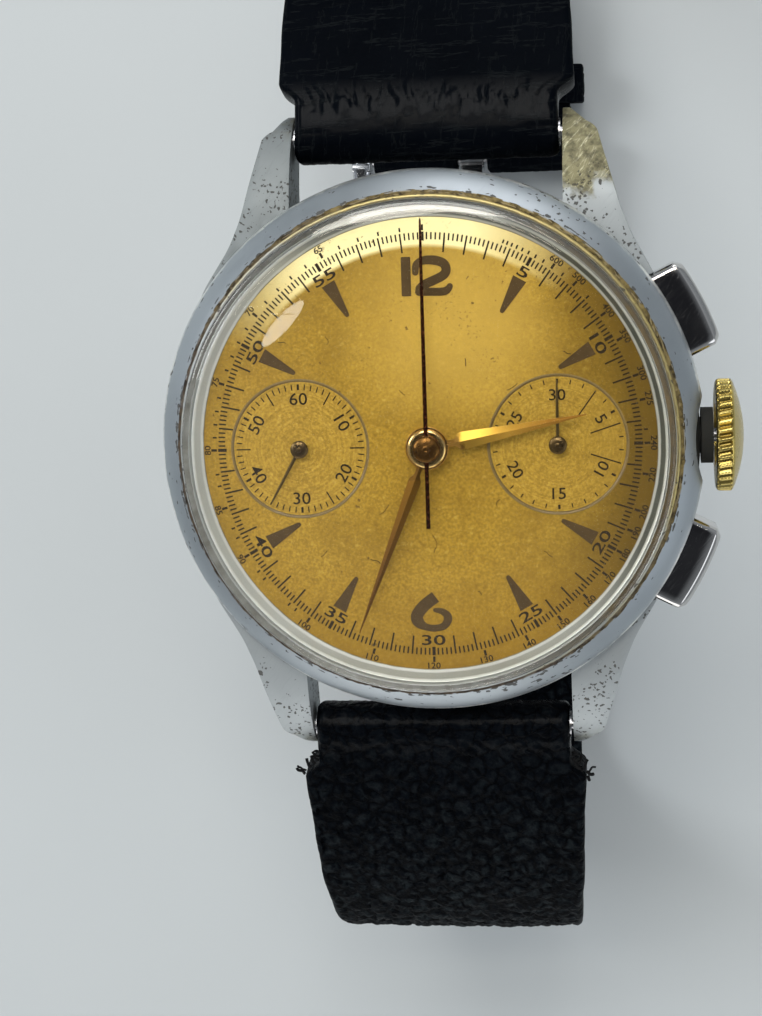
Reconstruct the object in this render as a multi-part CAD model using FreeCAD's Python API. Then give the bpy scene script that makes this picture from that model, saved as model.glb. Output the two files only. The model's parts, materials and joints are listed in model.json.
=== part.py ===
import FreeCAD, Part
import math, os

os.makedirs("parts", exist_ok=True)

# driving dimensions, millimetres
Z0 = 49.0            # dial surface above the floor
LUG_W = 18.0         # gap between lugs
CASE_R = 17.7        # middle case radius
BEZEL_R = 18.05
BORE_R = 15.1        # movement bore
DIAL_R = 15.9
SUB_X = 8.43         # sub-dial axis offset
BAR_Y = 20.1         # spring bar offset
BAR_W = -5.2         # spring bar height from dial
STEM_W = -3.45       # crown and pusher axis height
PUSH_ANG = 26.7      # pusher angle
PUSH_TRAVEL = 0.9
CROWN_R = 3.7
LEATHER_LUG = 3.4    # strap thickness at the bar
LEATHER = 2.1        # strap thickness at the foot


def V(x, y, z):
    return FreeCAD.Vector(x, y, z)


def cyl(r, a, b, x=0.0, y=0.0):
    lo, hi = min(a, b), max(a, b)
    return Part.makeCylinder(r, hi - lo, V(x, y, lo))


def ring(ri, ro, a, b, x=0.0, y=0.0):
    return cyl(ro, a, b, x, y).cut(cyl(ri, min(a, b) - 1, max(a, b) + 1, x, y))


def box(x0, x1, y0, y1, z0, z1):
    return Part.makeBox(x1 - x0, y1 - y0, z1 - z0, V(x0, y0, z0))


def face(pts):
    return Part.Face(Part.makePolygon(pts + [pts[0]]))


def rev(pts, x=0.0, y=0.0):
    """solid of revolution about Z from (r, w) points"""
    s = face([V(r, 0, w) for r, w in pts]).revolve(V(0, 0, 0), V(0, 0, 1), 360)
    s.translate(V(x, y, 0))
    return s


def dome(r, ze, zt, r0=0.0):
    """arc of a sphere centred on the axis, from radius r at ze up to the apex zt"""
    sag = zt - ze
    R = (r * r + sag * sag) / (2 * sag)
    zc = zt - R
    return Part.Arc(V(r, 0, ze), V(r / 2, 0, zc + math.sqrt(R * R - r * r / 4)), V(0, 0, zt)).toShape()


def rev_wire(edges):
    return Part.Face(Part.Wire(edges)).revolve(V(0, 0, 0), V(0, 0, 1), 360)


def prism(pts, a, b):
    return face([V(x, y, a) for x, y in pts]).extrude(V(0, 0, b - a))


def fuse(*s):
    r = s[0]
    for o in s[1:]:
        r = r.fuse(o)
    return r


def cut(a, *s):
    for o in s:
        a = a.cut(o)
    return a


def gear(x, y, a, b, n, m, bore=0.0, phase=0.0, add=0.9, ded=1.2):
    """wheel with pointed teeth"""
    rp = m * n / 2.0
    pts = []
    for i in range(n):
        t = 2 * math.pi * i / n + math.radians(phase)
        pts.append((x + (rp + add * m) * math.cos(t), y + (rp + add * m) * math.sin(t)))
        t += math.pi / n
        pts.append((x + (rp - ded * m) * math.cos(t), y + (rp - ded * m) * math.sin(t)))
    g = prism(pts, min(a, b), max(a, b))
    if bore:
        g = g.cut(cyl(bore, min(a, b) - 1, max(a, b) + 1, x, y))
    return g


def mesh_phase(n1, ph1, ang, n2):
    """phase of a second wheel whose gap meets the first wheel's tooth along ang"""
    p1 = 360.0 / n1
    off = (ang - ph1) / p1
    frac = off - math.floor(off)
    p2 = 360.0 / n2
    # measured from the second axis, the contact lies at ang+180
    return (ang + 180.0) + frac * p2 - p2 / 2.0


def spokes(g, x, y, a, b, r0, r1, n=4, w=0.35, ph=0.0):
    """open a wheel between hub r0 and rim r1, leaving n spokes"""
    hole = ring(r0, r1, a - 0.5, b + 0.5, x, y)
    for i in range(n):
        t = math.radians(ph + 180.0 / n * i) if n % 2 == 0 else math.radians(ph + 360.0 / n * i)
        s = Part.makeBox(2 * r1 + 2 if n % 2 == 0 else r1 + 1, w, b - a + 2,
                         V(-(r1 + 1) if n % 2 == 0 else 0, -w / 2, a - 1))
        s.rotate(V(0, 0, 0), V(0, 0, 1), math.degrees(t))
        s.translate(V(x, y, 0))
        hole = hole.cut(s)
        if n % 2 == 0 and i >= n // 2 - 1:
            break
    return g.cut(hole)


def along_x(s):
    """turn a Z-axis solid so its axis lies along +X at the stem height"""
    s = s.copy()
    s.rotate(V(0, 0, 0), V(0, 1, 0), 90)
    s.translate(V(0, 0, STEM_W))
    return s


def xcyl(r, x0, x1, w=STEM_W, y=0.0):
    return Part.makeCylinder(r, x1 - x0, V(x0, y, w), V(1, 0, 0))


def out(name, s):
    s = s.copy()
    s.translate(V(0, 0, Z0))
    if s.ShapeType == "Compound" and len(s.Solids) == 1:
        s = s.Solids[0]
    print(name, s.ShapeType, "valid", s.isValid(), "solids", len(s.Solids), "faces", len(s.Faces), "vol %.3f" % s.Volume)
    s.exportStep("parts/%s.step" % name)


# axes in plan
C = (0.0, 0.0)
S = (-SUB_X, 0.0)
R = (SUB_X, 0.0)
T = (-4.7014, 1.549)
B = (3.15, 5.46)
_e = math.radians(235)
E = (S[0] + 3.465 * math.cos(_e), S[1] + 3.465 * math.sin(_e))
P = (-9.4, -4.95)
BA = (-6.6, -8.6)
_m = math.radians(-40)
M = (3.0 * math.cos(_m), 3.0 * math.sin(_m))
ST = (5.4496, -0.7208)
CW = (10.20, 2.90)
K = (-4.3769, -1.7126)
I = (5.50, -0.645)
Q1 = (8.71, 9.92)
Q2 = (8.71, -9.92)
OC = (6.3, 10.9)


def ang(a, b):
    return math.degrees(math.atan2(b[1] - a[1], b[0] - a[0]))


# ---------------------------------------------------------------- case
arc_r = 0.45
case = rev([(BORE_R, -6.95), (16.95, -6.95), (17.45, -6.6), (CASE_R, -6.0), (CASE_R, -2.1), (17.45, -1.65),
            (16.55, -1.65), (16.55, 0.10), (16.42, 0.23), (16.1, 0.23), (16.1, -0.40), (BORE_R, -0.40)])


def lug(sx, sy):
    prof = [(8.6, -1.95), (11.4, -1.95), (14.2, -1.98), (16.2, -2.25), (18.2, -2.95), (19.9, -3.95), (21.0, -5.05), (21.6, -6.2),
            (21.62, -7.0), (21.1, -7.55), (20.2, -7.7), (18.2, -7.3), (16.0, -6.9), (8.6, -6.7)]
    p0 = V(0, prof[0][0], prof[0][1])
    bs = Part.BSplineCurve()
    bs.interpolate([V(9.0, y, w) for y, w in prof[:8]])
    e = [bs.toShape()]
    bs2 = Part.BSplineCurve()
    bs2.interpolate([V(9.0, y, w) for y, w in prof[7:13]])
    e.append(bs2.toShape())
    e.append(Part.makeLine(V(9.0, 16.0, -6.9), V(9.0, 8.6, -6.7)))
    e.append(Part.makeLine(V(9.0, 8.6, -6.7), V(9.0, 8.6, -1.95)))
    s = Part.Face(Part.Wire(e)).extrude(V(7.0, 0, 0))
    # outer flank sweeps off the round of the case and tapers to the tip
    fl = Part.BSplineCurve()
    fl.interpolate([V(11.15, 21.5, -12), V(12.62, 17.2, -12), V(14.0, 13.1, -12), V(14.95, 10.6, -12), V(15.85, 8.0, -12)])
    fe = [fl.toShape()]
    corner = [V(15.85, 8.0, -12), V(30, 8.0, -12), V(30, 22.5, -12), V(10.95, 22.5, -12), V(11.15, 21.5, -12)]
    fe += [Part.makeLine(a, b) for a, b in zip(corner, corner[1:])]
    flank = Part.Face(Part.Wire(fe)).extrude(V(0, 0, 15))
    s = s.cut(flank)
    try:
        es = [x for x in s.Edges if x.Length > 6 and all(v.Point.x > 9.5 for v in x.Vertexes)]
        f = s.makeFillet(0.45, es)
        if f.isValid() and f.Volume > 0.5 * s.Volume:
            s = f
    except Exception:
        pass
    s = s.cut(cyl(17.0, -12, 3))
    if sx < 0:
        s = s.mirror(V(0, 0, 0), V(1, 0, 0))
    if sy < 0:
        s = s.mirror(V(0, 0, 0), V(0, 1, 0))
    return s


for sx in (1, -1):
    for sy in (1, -1):
        case = case.fuse(lug(sx, sy))
for sy in (1, -1):
    case = case.cut(Part.makeCylinder(0.45, 19.5, V(-9.75, sy * BAR_Y, BAR_W), V(1, 0, 0)))
# crown tube hole, scooped crown recess, pusher pockets
case = case.cut(xcyl(1.20, 14.0, 19.0))
case = case.cut(Part.makeSphere(3.05, V(20.15, 0, STEM_W)))
for sg in (1, -1):
    p = box(16.35, 20, -3.06, 3.06, STEM_W - 1.66, STEM_W + 1.66)
    h = xcyl(0.95, 14, 17)
    p = p.fuse(h)
    p.rotate(V(0, 0, 0), V(0, 0, 1), sg * PUSH_ANG)
    case = case.cut(p)
# gasket groove
case = case.cut(ring(15.35, 15.95, -6.96, -6.5))
case = case.removeSplitter()
out("mid_case", case)

# bezel with upright lip and a scoop beside the crown
e = [Part.makeLine(V(16.1, 0, 0.24), V(16.1, 0, 1.42)),
     Part.Arc(V(16.1, 0, 1.42), V(16.30, 0, 1.56), V(16.52, 0, 1.5)).toShape(),
     Part.Arc(V(16.52, 0, 1.5), V(16.74, 0, 1.30), V(16.82, 0, 1.0)).toShape(),
     Part.makeLine(V(16.82, 0, 1.0), V(16.88, 0, 0.42)),
     Part.Arc(V(16.88, 0, 0.42), V(17.02, 0, 0.12), V(17.25, 0, -0.12)).toShape(),
     Part.makeLine(V(17.25, 0, -0.12), V(17.88, 0, -0.98)),
     Part.Arc(V(17.88, 0, -0.98), V(18.04, 0, -1.30), V(17.98, 0, -1.6)).toShape(),
     Part.makeLine(V(17.98, 0, -1.6), V(17.9, 0, -1.65)),
     Part.makeLine(V(17.9, 0, -1.65), V(16.58, 0, -1.65)),
     Part.makeLine(V(16.58, 0, -1.65), V(16.58, 0, 0.24)),
     Part.makeLine(V(16.58, 0, 0.24), V(16.1, 0, 0.24))]
bez = rev_wire(e)
bez = bez.cut(Part.makeSphere(4.3, V(20.35, 0, STEM_W)))
out("bezel", bez)

# crystal
e = [Part.makeLine(V(15.65, 0, 0.0), V(16.05, 0, 0.0)),
     Part.makeLine(V(16.05, 0, 0.0), V(16.05, 0, 1.80)),
     Part.Arc(V(16.05, 0, 1.80), V(15.93, 0, 2.03), V(15.65, 0, 2.15)).toShape(),
     dome(15.65, 2.15, 3.5),
     Part.makeLine(V(0, 0, 3.5), V(0, 0, 2.6)),
     dome(15.65, 1.55, 2.6),
     Part.makeLine(V(15.65, 0, 1.55), V(15.65, 0, 0.0))]
out("crystal", rev_wire(e))
out("rehaut_ring", rev([(15.02, 0.0), (15.6, 0.0), (15.6, 0.85), (15.5, 0.85)]))

back = rev([(0, -7.8), (14.5, -7.8), (14.5, -6.95), (16.85, -6.95), (16.85, -7.5), (16.2, -8.0), (14.9, -8.15),
            (14.6, -8.5), (14.3, -8.6), (0, -8.6)])
for i in range(6):
    b = box(15.3, 17.2, -0.9, 0.9, -8.8, -7.55)
    b.rotate(V(0, 0, 0), V(0, 0, 1), 60 * i + 15)
    back = back.cut(b)
back = back.cut(ring(12.3, 12.6, -8.7, -8.5))
out("case_back", back)
out("back_gasket", ring(15.4, 15.9, -6.95, -6.5))
tubes = [fuse(xcyl(1.20, 15.0, 18.0), xcyl(1.85, 17.76, 18.55)).cut(xcyl(0.66, 14, 20))]
for sg in (1, -1):
    t = xcyl(0.95, 15.1, 16.35).cut(xcyl(0.54, 14, 20))
    t.rotate(V(0, 0, 0), V(0, 0, 1), sg * PUSH_ANG)
    tubes.append(t)
out("case_tubes", Part.makeCompound(tubes))
bars = []
for sy in (1, -1):
    b = Part.makeCylinder(0.9, 17.7, V(-8.85, sy * BAR_Y, BAR_W), V(1, 0, 0))
    b = b.fuse(Part.makeCylinder(0.45, 19.5, V(-9.75, sy * BAR_Y, BAR_W), V(1, 0, 0)))
    bars.append(b)
out("lug_spring_bars", Part.makeCompound(bars))

# ---------------------------------------------------------------- dial
dial = rev([(0, -0.40), (DIAL_R, -0.40), (DIAL_R, 0.0), (0, 0.0)])
for x, y in (S, R):
    dial = dial.cut(rev([(0, -0.16), (3.75, -0.16), (3.8, -0.10), (4.42, -0.10), (4.6, 0.0), (4.6, 0.5), (0, 0.5)], x, y))
    dial = dial.cut(cyl(0.30, -1, 1, x, y))
dial = dial.cut(cyl(1.15, -1, 1))
out("dial", dial)

# ---------------------------------------------------------------- plates
plate = fuse(cyl(14.95, -1.35, -2.75), ring(13.6, 14.95, -0.40, -1.36))
plate = plate.fuse(box(12.7, 14.3, -1.2, 1.2, -4.3, -2.7))
plate = cut(plate, cyl(0.45, -4, 0), cyl(0.22, -4, 0, *S), cyl(0.22, -4, 0, *R), xcyl(0.59, 12, 15),
            box(8.75, 12.45, -1.6, 1.6, -3.0, -2.05), cyl(0.28, -4, -1.8, *T), cyl(0.20, -4, -1.8, *E),
            cyl(0.20, -4, -1.8, *P), cyl(0.22, -4, -1.8, *BA), cyl(0.53, -4, -1.8, *B),
            cyl(5.75, -3.0, -2.62, *B), cyl(0.18, -4, -1.6 + 0.2, *M), cyl(0.62, -4, -2.0, *T))
plate = plate.fuse(cyl(0.25, -1.36, -0.55, *ST))
plate = cut(plate, cyl(0.45, -4, 0))
# pillars for the bridges
pill = [(-10.5, 8.6), (-3.2, 13.2), (-2.9, -12.95), (-12.7, -6.4), (12.4, 4.6), (1.2, 13.6), (3.0, -12.6), (12.2, -5.0), (-13.6, 1.6), (-1.15 + 1.4, -5.2)]
out("main_plate", plate)

disc = cyl(14.85, -4.5, -5.2)


def pillar(p, r=0.75):
    return cyl(r, -2.75, -4.5, *p)


bb = disc.common(box(-1.5, 15, -15, 15, -6, -4))
bb = bb.cut(prism([(-2, -15.5), (-2, -5.9), (4.0, -8.0), (4.0, -15.5)], -6, -4))
for p in [(10.9, 7.4), (1.2, 13.6), (6.2, -12.6), (0.25, -5.2)]:
    bb = bb.fuse(pillar(p))
bb = bb.fuse(pillar((12.2, -4.9), 0.58))
bb = cut(bb, cyl(0.46, -6, -4), cyl(0.53, -6, -4, *B), box(8.7, 12.45, -1.45, 1.45, -6, -4), cyl(0.22, -6, -4, *R))
notch = box(13.1, 15.2, -1.6, 1.6, -6, -4)
for sg in (1, -1):
    n = notch.copy()
    n.rotate(V(0, 0, 0), V(0, 0, 1), sg * PUSH_ANG)
    bb = bb.cut(n)
    n = box(12.35, 14, -1.0, 1.0, -6, -4)
    n.rotate(V(0, 0, 0), V(0, 0, 1), sg * PUSH_ANG)
    bb = bb.cut(n)
# posts carrying the upper pieces
for q in (Q1, Q2, OC):
    bb = bb.fuse(cyl(0.45, -5.2, -6.45, *q))
bb = bb.fuse(cyl(0.5, -5.2, -5.62, *CW)).fuse(cyl(0.30, -5.2, -6.15, *I)).cut(cyl(0.14, -6.3, -5.3, *I))
out("barrel_bridge", bb)

tb = disc.common(box(-15, -1.7, -4.2, 15, -6, -4))
tb = cut(tb, cyl(1.5, -6, -4, *P), cyl(4.35, -6, -4, *BA))
for p in [(-10.5, 8.6), (-3.2, 13.2), (-13.6, 1.6)]:
    tb = tb.fuse(pillar(p))
tb = cut(tb, cyl(0.17, -6, -4, *T), cyl(0.22, -6, -4, *S), cyl(0.17, -6, -4, *E))
tb = tb.fuse(cyl(0.45, -5.2, -5.7, *K)).cut(cyl(0.14, -5.75, -5.0, *K))
out("train_bridge", tb)

pb = prism([(-9.4, -4.35), (-8.85, -4.95), (-9.4, -5.5), (-12.0, -7.2), (-13.2, -6.9), (-12.9, -5.2)], -4.95, -4.5)
pb = pb.fuse(cyl(0.6, -2.75, -4.5, -12.45, -6.35)).cut(cyl(0.17, -6, -4, *P))
out("pallet_bridge", pb)

ck = prism([(-7.4, -8.3), (-6.6, -7.7), (-5.8, -8.2), (-1.2, -12.6), (-1.6, -14.3), (-4.4, -14.1), (-7.2, -9.4)], -5.55, -5.05)
ck = ck.fuse(cyl(0.8, -2.75, -5.06, -2.5, -13.2)).cut(cyl(0.17, -6, -5, *BA))
out("balance_cock", ck)

cb = prism([(-8.9, 0.9), (-8.9, -0.9), (-5.4, -2.6), (-3.4, -2.6), (0, -1.4), (6.0, -1.6), (8.9, -0.8), (8.9, 0.8), (6, 1.4),
            (1.2, 1.4), (-2.0, 10.9), (-4.0, 10.9), (-1.8, 1.6)], -7.0, -6.6)
cb = cut(cb, cyl(0.22, -8, -6), cyl(0.17, -8, -6, *S), cyl(0.17, -8, -6, *R), cyl(0.14, -8, -6, *K), cyl(0.14, -8, -6, *I))
cb = cb.fuse(cyl(0.7, -5.2, -6.61, -3.0, 9.9)).fuse(prism([(8.0, -0.7), (9.6, -0.7), (10.9, -4.1), (9.5, -4.4)], -7.0, -6.6))
cb = cb.fuse(cyl(0.6, -5.2, -6.61, 10.2, -4.0)).cut(cyl(0.17, -8, -6, *R))
out("chronograph_bridge", cb)


def screw(x, y, w0, r=0.62, d=0.3, L=0.5):
    s = cyl(r, w0, w0 - d, x, y).fuse(cyl(0.3, w0 + L, w0, x, y))
    return s.cut(box(x - r, x + r, y - 0.08, y + 0.08, w0 - d - 0.1, w0 - d + 0.12))


# bridge screws stand on the plates beside their holes
scr = []
for x, y in [(10.9, 7.4), (1.2, 13.6), (6.2, -12.6), (-10.5, 8.6), (-3.2, 13.2), (-13.6, 1.6)]:
    scr.append(cyl(0.62, -5.2, -5.5, x, y).cut(box(x - 0.7, x + 0.7, y - 0.08, y + 0.08, -5.6, -5.38)))
for x, y, w in [(-12.45, -6.35, -4.95), (-2.5, -13.2, -5.55), (-3.0, 9.9, -7.0), (10.2, -4.0, -7.0)]:
    scr.append(cyl(0.5, w, w - 0.25, x, y).cut(box(x - 0.6, x + 0.6, y - 0.07, y + 0.07, w - 0.3, w - 0.14)))
out("plate_screws", Part.makeCompound(scr))

jw = []
for (x, y), r, w in [(S, 0.22, -5.2), (T, 0.17, -5.2), (E, 0.17, -5.2), (P, 0.17, -4.95), (BA, 0.17, -5.55)]:
    jw.append(ring(r, 0.5 if w != -4.95 else 0.42, w - 0.12, w, x, y))
out("bridge_jewels", Part.makeCompound(jw))

# ---------------------------------------------------------------- train
ph_c = 0.0
drum = ring(4.72, 5.0, -3.2, -4.35, *B)
drum = drum.fuse(ring(0.56, 4.9, -3.2, -3.32, *B)).fuse(ring(0.56, 4.9, -4.25, -4.35, *B))
drum = drum.fuse(gear(B[0], B[1], -3.2, -3.45, 72, 0.15, 4.8, phase=0.0))
out("barrel", drum)

pts = []
n = 150
for i in range(n + 1):
    t = i / n
    r = 1.05 + 3.55 * t
    a = 2 * math.pi * 6.0 * t
    pts.append((r, a))
outer = [(B[0] + (r + 0.06) * math.cos(a), B[1] + (r + 0.06) * math.sin(a)) for r, a in pts]
inner = [(B[0] + (r - 0.06) * math.cos(a), B[1] + (r - 0.06) * math.sin(a)) for r, a in reversed(pts)]
ms = prism(outer + inner, -4.2, -3.4)
ms = ms.fuse(box(B[0] + 0.58, B[0] + 1.1, B[1] - 0.1, B[1] + 0.1, -4.1, -3.5))
ms = ms.fuse(box(B[0] + 4.55, B[0] + 4.72, B[1] - 0.15, B[1] + 0.15, -4.1, -3.5))
out("mainspring", ms)

rat = gear(B[0], B[1], -5.25, -5.5, 50, 0.2, 0.0, phase=3.6)
rat = rat.fuse(cyl(0.50, -1.9, -5.6, *B))
rat = rat.cut(cyl(0.3, -5.7, -5.4, *B))
out("ratchet_wheel", rat)
a1 = ang(B, CW)
crw = gear(CW[0], CW[1], -5.25, -5.5, 25, 0.2, 0.53, phase=mesh_phase(50, 3.6, a1, 25))
out("crown_wheel", crw)

# click with its own post, screwed beside the ratchet wheel
clk = prism([(0.55, 12.15), (1.15, 12.2), (1.9, 11.6), (3.0, 10.86), (3.2, 11.0), (2.4, 12.1), (1.4, 12.75), (0.6, 12.7)], -5.5, -5.25)
clk = clk.fuse(cyl(0.55, -5.2, -5.6, 1.05, 12.3))
out("click", clk)

# centre wheel and its hollow arbor
a_cb = ang(B, C)
cpin = gear(0, 0, -3.15, -3.6, 12, 0.15, 0.28, phase=mesh_phase(72, 0.0, a_cb, 12))
cw_ = spokes(gear(0, 0, -2.85, -3.05, 80, 0.11, 0.28, phase=0.0), 0, 0, -3.05, -2.85, 1.0, 3.6, 4, 0.5)
cw_ = fuse(cw_, cpin, ring(0.28, 0.42, -1.30, -5.1))
cw_ = cw_.cut(cyl(0.28, -6, 0))
out("center_wheel", cw_)

a_ct = ang(C, T)
tpin = gear(T[0], T[1], -2.85, -3.15, 10, 0.11, 0.0, phase=mesh_phase(80, 0.0, a_ct, 10))
tw = spokes(gear(T[0], T[1], -3.9, -4.1, 75, 0.095, 0.0, phase=0.0), T[0], T[1], -4.1, -3.9, 0.7, 3.0, 4, 0.4)
tw = fuse(tw, tpin, cyl(0.24, -2.0, -4.3, *T), cyl(0.13, -4.2, -5.15, *T))
out("third_wheel", tw)

a_ts = ang(T, S)
fpin = gear(S[0], S[1], -3.85, -4.15, 10, 0.095, 0.0, phase=mesh_phase(75, 0.0, a_ts, 10))
fw = spokes(gear(S[0], S[1], -3.3, -3.5, 70, 0.09, 0.0, phase=0.0), S[0], S[1], -3.5, -3.3, 0.7, 2.6, 4, 0.4)
fw = fuse(fw, fpin, cyl(0.18, 0.30, -6.1, *S), cyl(0.13, -6.0, -6.95, *S))
a_sk = ang(S, K)
fw = fw.fuse(gear(S[0], S[1], -5.9, -6.1, 48, 0.1, 0.0, phase=0.0))
out("fourth_wheel", fw)

a_se = ang(S, E)
epin = gear(E[0], E[1], -3.3, -3.55, 7, 0.09, 0.0, phase=mesh_phase(70, 0.0, a_se, 7))
esc = []
for i in range(15):
    t = math.radians(24 * i)
    for r, d in ((1.45, 0), (1.9, 3), (1.86, 7), (1.45, 9)):
        esc.append((E[0] + r * math.cos(t + math.radians(d)), E[1] + r * math.sin(t + math.radians(d))))
ew = spokes(prism(esc, -4.15, -4.0), E[0], E[1], -4.15, -4.0, 0.4, 1.2, 4, 0.25)
ew = fuse(ew, epin, cyl(0.13, -1.95, -5.15, *E), cyl(0.2, -3.0, -4.2, *E))
ew = ew.cut(ring(0.17, 2, -2.9, -1.7, *E))
out("escape_wheel", ew)

# pallet fork: two arms near the escape wheel, lever toward the balance
u = math.radians(ang(P, E))
w_ = math.radians(ang(P, BA))


def loc(cx, cy, a, r):
    return (cx + r * math.cos(a), cy + r * math.sin(a))


rE = math.hypot(P[0] - E[0], P[1] - E[1])
pf = prism([loc(*P, u + 2.0, 0.35), loc(*P, u + 1.15, 1.75), loc(*P, u + 0.98, 1.75), loc(*P, u + 0.9, 0.4),
            loc(*P, u - 0.9, 0.4), loc(*P, u - 0.98, 1.75), loc(*P, u - 1.15, 1.75), loc(*P, u - 2.0, 0.35)], -4.15, -4.0)
lv = prism([loc(*P, w_ + 1.2, 0.25), loc(*P, w_ + 0.045, 3.6), loc(*P, w_ + 0.08, 4.15), loc(*P, w_ + 0.05, 4.15), loc(*P, w_, 3.8),
            loc(*P, w_ - 0.05, 4.15), loc(*P, w_ - 0.08, 4.15), loc(*P, w_ - 0.045, 3.6), loc(*P, w_ - 1.2, 0.25)], -4.15, -4.0)
pf = fuse(pf, lv, cyl(0.3, -3.95, -4.2, *P), cyl(0.13, -1.95, -4.9, *P))
out("pallet_fork", pf)

bw = ring(3.35, 3.9, -4.3, -4.7, *BA)
for a in (25, 145, 265):
    b = box(0, 3.4, -0.25, 0.25, -4.6, -4.4)
    b.rotate(V(0, 0, 0), V(0, 0, 1), a)
    b.translate(V(BA[0], BA[1], 0))
    bw = bw.fuse(b)
bw = fuse(bw, cyl(0.45, -4.3, -4.75, *BA), cyl(0.13, -1.95, -5.5, *BA))
pin = loc(*BA, w_ + math.pi, 0.31)
bw = bw.fuse(cyl(0.07, -4.05, -4.35, *pin))
out("balance_wheel", bw)
hp = []
n = 120
for i in range(n + 1):
    t = i / n
    hp.append((0.45 + 1.75 * t, 2 * math.pi * 5.5 * t))
ho = [loc(*BA, a, r + 0.045) for r, a in hp]
hi = [loc(*BA, a, r - 0.045) for r, a in reversed(hp)]
hs = prism(ho + hi, -4.98, -4.84)
hs = hs.fuse(ring(0.15, 0.42, -4.98, -4.84, *BA)).fuse(box(BA[0] + 0.3, BA[0] + 0.5, BA[1] - 0.06, BA[1] + 0.06, -4.98, -4.84))
out("hairspring", hs)

# ---------------------------------------------------------------- motion work
a_cm = ang(C, M)
can = gear(0, 0, -0.95, -1.25, 12, 0.125, 0.47, phase=0.0)
can = fuse(can, ring(0.47, 0.72, -1.28, 1.12))
can = can.cut(cyl(0.47, -2, 3))
out("cannon_pinion", can)
ph_m = mesh_phase(12, 0.0, a_cm, 36)
mw = gear(M[0], M[1], -0.95, -1.2, 36, 0.125, 0.0, phase=ph_m)
ph_mp = 5.0
mw = mw.fuse(gear(M[0], M[1], -0.5, -0.96, 10, 0.12, 0.0, phase=ph_mp)).fuse(cyl(0.15, -0.48, -2.6, *M))
out("minute_wheel", mw)
hw = spokes(gear(0, 0, -0.5, -0.75, 40, 0.12, 0.77, phase=mesh_phase(10, ph_mp, a_cm + 180, 40)), 0, 0, -0.75, -0.5, 1.2, 1.9, 4, 0.4)
hw = fuse(hw, ring(0.77, 1.05, -0.8, 0.88))
hw = hw.cut(cyl(0.77, -2, 3))
out("hour_wheel", hw)
a_ms = ang(M, ST)
sw = gear(ST[0], ST[1], -0.95, -1.2, 18, 0.125, 0.28, phase=mesh_phase(36, ph_m, a_ms, 18))
out("setting_wheel", sw)

# ---------------------------------------------------------------- keyless work
stem = fuse(xcyl(0.56, 8.8, 18.6), xcyl(0.45, 18.5, 20.0))
out("winding_stem", stem)


def xgear(x0, x1, n, m, bore):
    g = gear(0, 0, 0, x1 - x0, n, m, bore)
    g.rotate(V(0, 0, 0), V(0, 1, 0), 90)
    g.translate(V(x0, 0, STEM_W))
    return g


out("sliding_pinion", xgear(9.25, 10.12, 12, 0.18, 0.58))
out("winding_pinion", xgear(10.2, 11.3, 12, 0.2, 0.58).fuse(xcyl(0.85, 11.3, 12.4).cut(xcyl(0.58, 11, 13))))

# crown: fluted barrel with domed cap
e = [Part.makeLine(V(0, 0, 0), V(3.35, 0, 0)),
     Part.Arc(V(3.35, 0, 0), V(3.60, 0, 0.07), V(3.7, 0, 0.28)).toShape(),
     Part.makeLine(V(3.7, 0, 0.28), V(3.7, 0, 1.12)),
     Part.Arc(V(3.7, 0, 1.12), V(3.64, 0, 1.27), V(3.45, 0, 1.36)).toShape(),
     dome(3.45, 1.36, 2.0),
     Part.makeLine(V(0, 0, 2.0), V(0, 0, 0))]
cr = rev_wire(e)
for i in range(30):
    t = math.radians(12 * i)
    cr = cr.cut(cyl(0.24, -0.2, 1.30, 3.84 * math.cos(t), 3.84 * math.sin(t)))
cr = cr.cut(cyl(2.1, -1, 0.55)).fuse(ring(0.45, 1.2, 0.1, 0.6)).cut(cyl(0.45, -1, 1.25))
cr.rotate(V(0, 0, 0), V(0, 1, 0), 90)
cr.translate(V(18.75, 0, STEM_W))
out("crown", cr)

# ---------------------------------------------------------------- chronograph work
run = gear(0, 0, -5.9, -6.1, 48, 0.1, 0.0, phase=0.0)
heart = []
for i in range(48):
    t = 2 * math.pi * i / 48
    d = abs(((t / math.pi) + 1) % 2 - 1)
    heart.append(((0.45 + 1.0 * d) * math.cos(t + math.pi / 2), (0.45 + 1.0 * d) * math.sin(t + math.pi / 2)))
run = fuse(run, prism(heart, -6.45, -6.1), box(-0.15, 0.15, -3.95, 0, -6.3, -6.1), cyl(0.20, 1.24, -6.95))
out("chrono_runner", run)
cpw = gear(K[0], K[1], -5.9, -6.1, 40, 0.1, 0.0, phase=mesh_phase(48, 0.0, a_sk, 40)).fuse(cyl(0.11, -5.05, -6.95, *K))
out("coupling_wheel", cpw)
iw = gear(I[0], I[1], -6.2, -6.4, 30, 0.1, 0.0, phase=0.0).fuse(cyl(0.11, -5.4, -6.95, *I))
out("intermediate_wheel", iw)
a_ir = ang(I, R)
mrw = gear(R[0], R[1], -6.2, -6.4, 30, 0.1, 0.0, phase=mesh_phase(30, 0.0, a_ir, 30))
mrw = fuse(mrw, cyl(0.18, 0.30, -6.4, *R), cyl(0.13, -6.3, -6.95, *R))
out("minute_recorder_wheel", mrw)

oc = []
for i in range(12):
    t = 2 * math.pi * i / 12
    r = 1.05 if i % 2 == 0 else 0.75
    oc.append(loc(*OC, t, r))
out("operating_cam", prism(oc, -5.7, -6.0).cut(cyl(0.48, -7, -5, *OC)))


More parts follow.
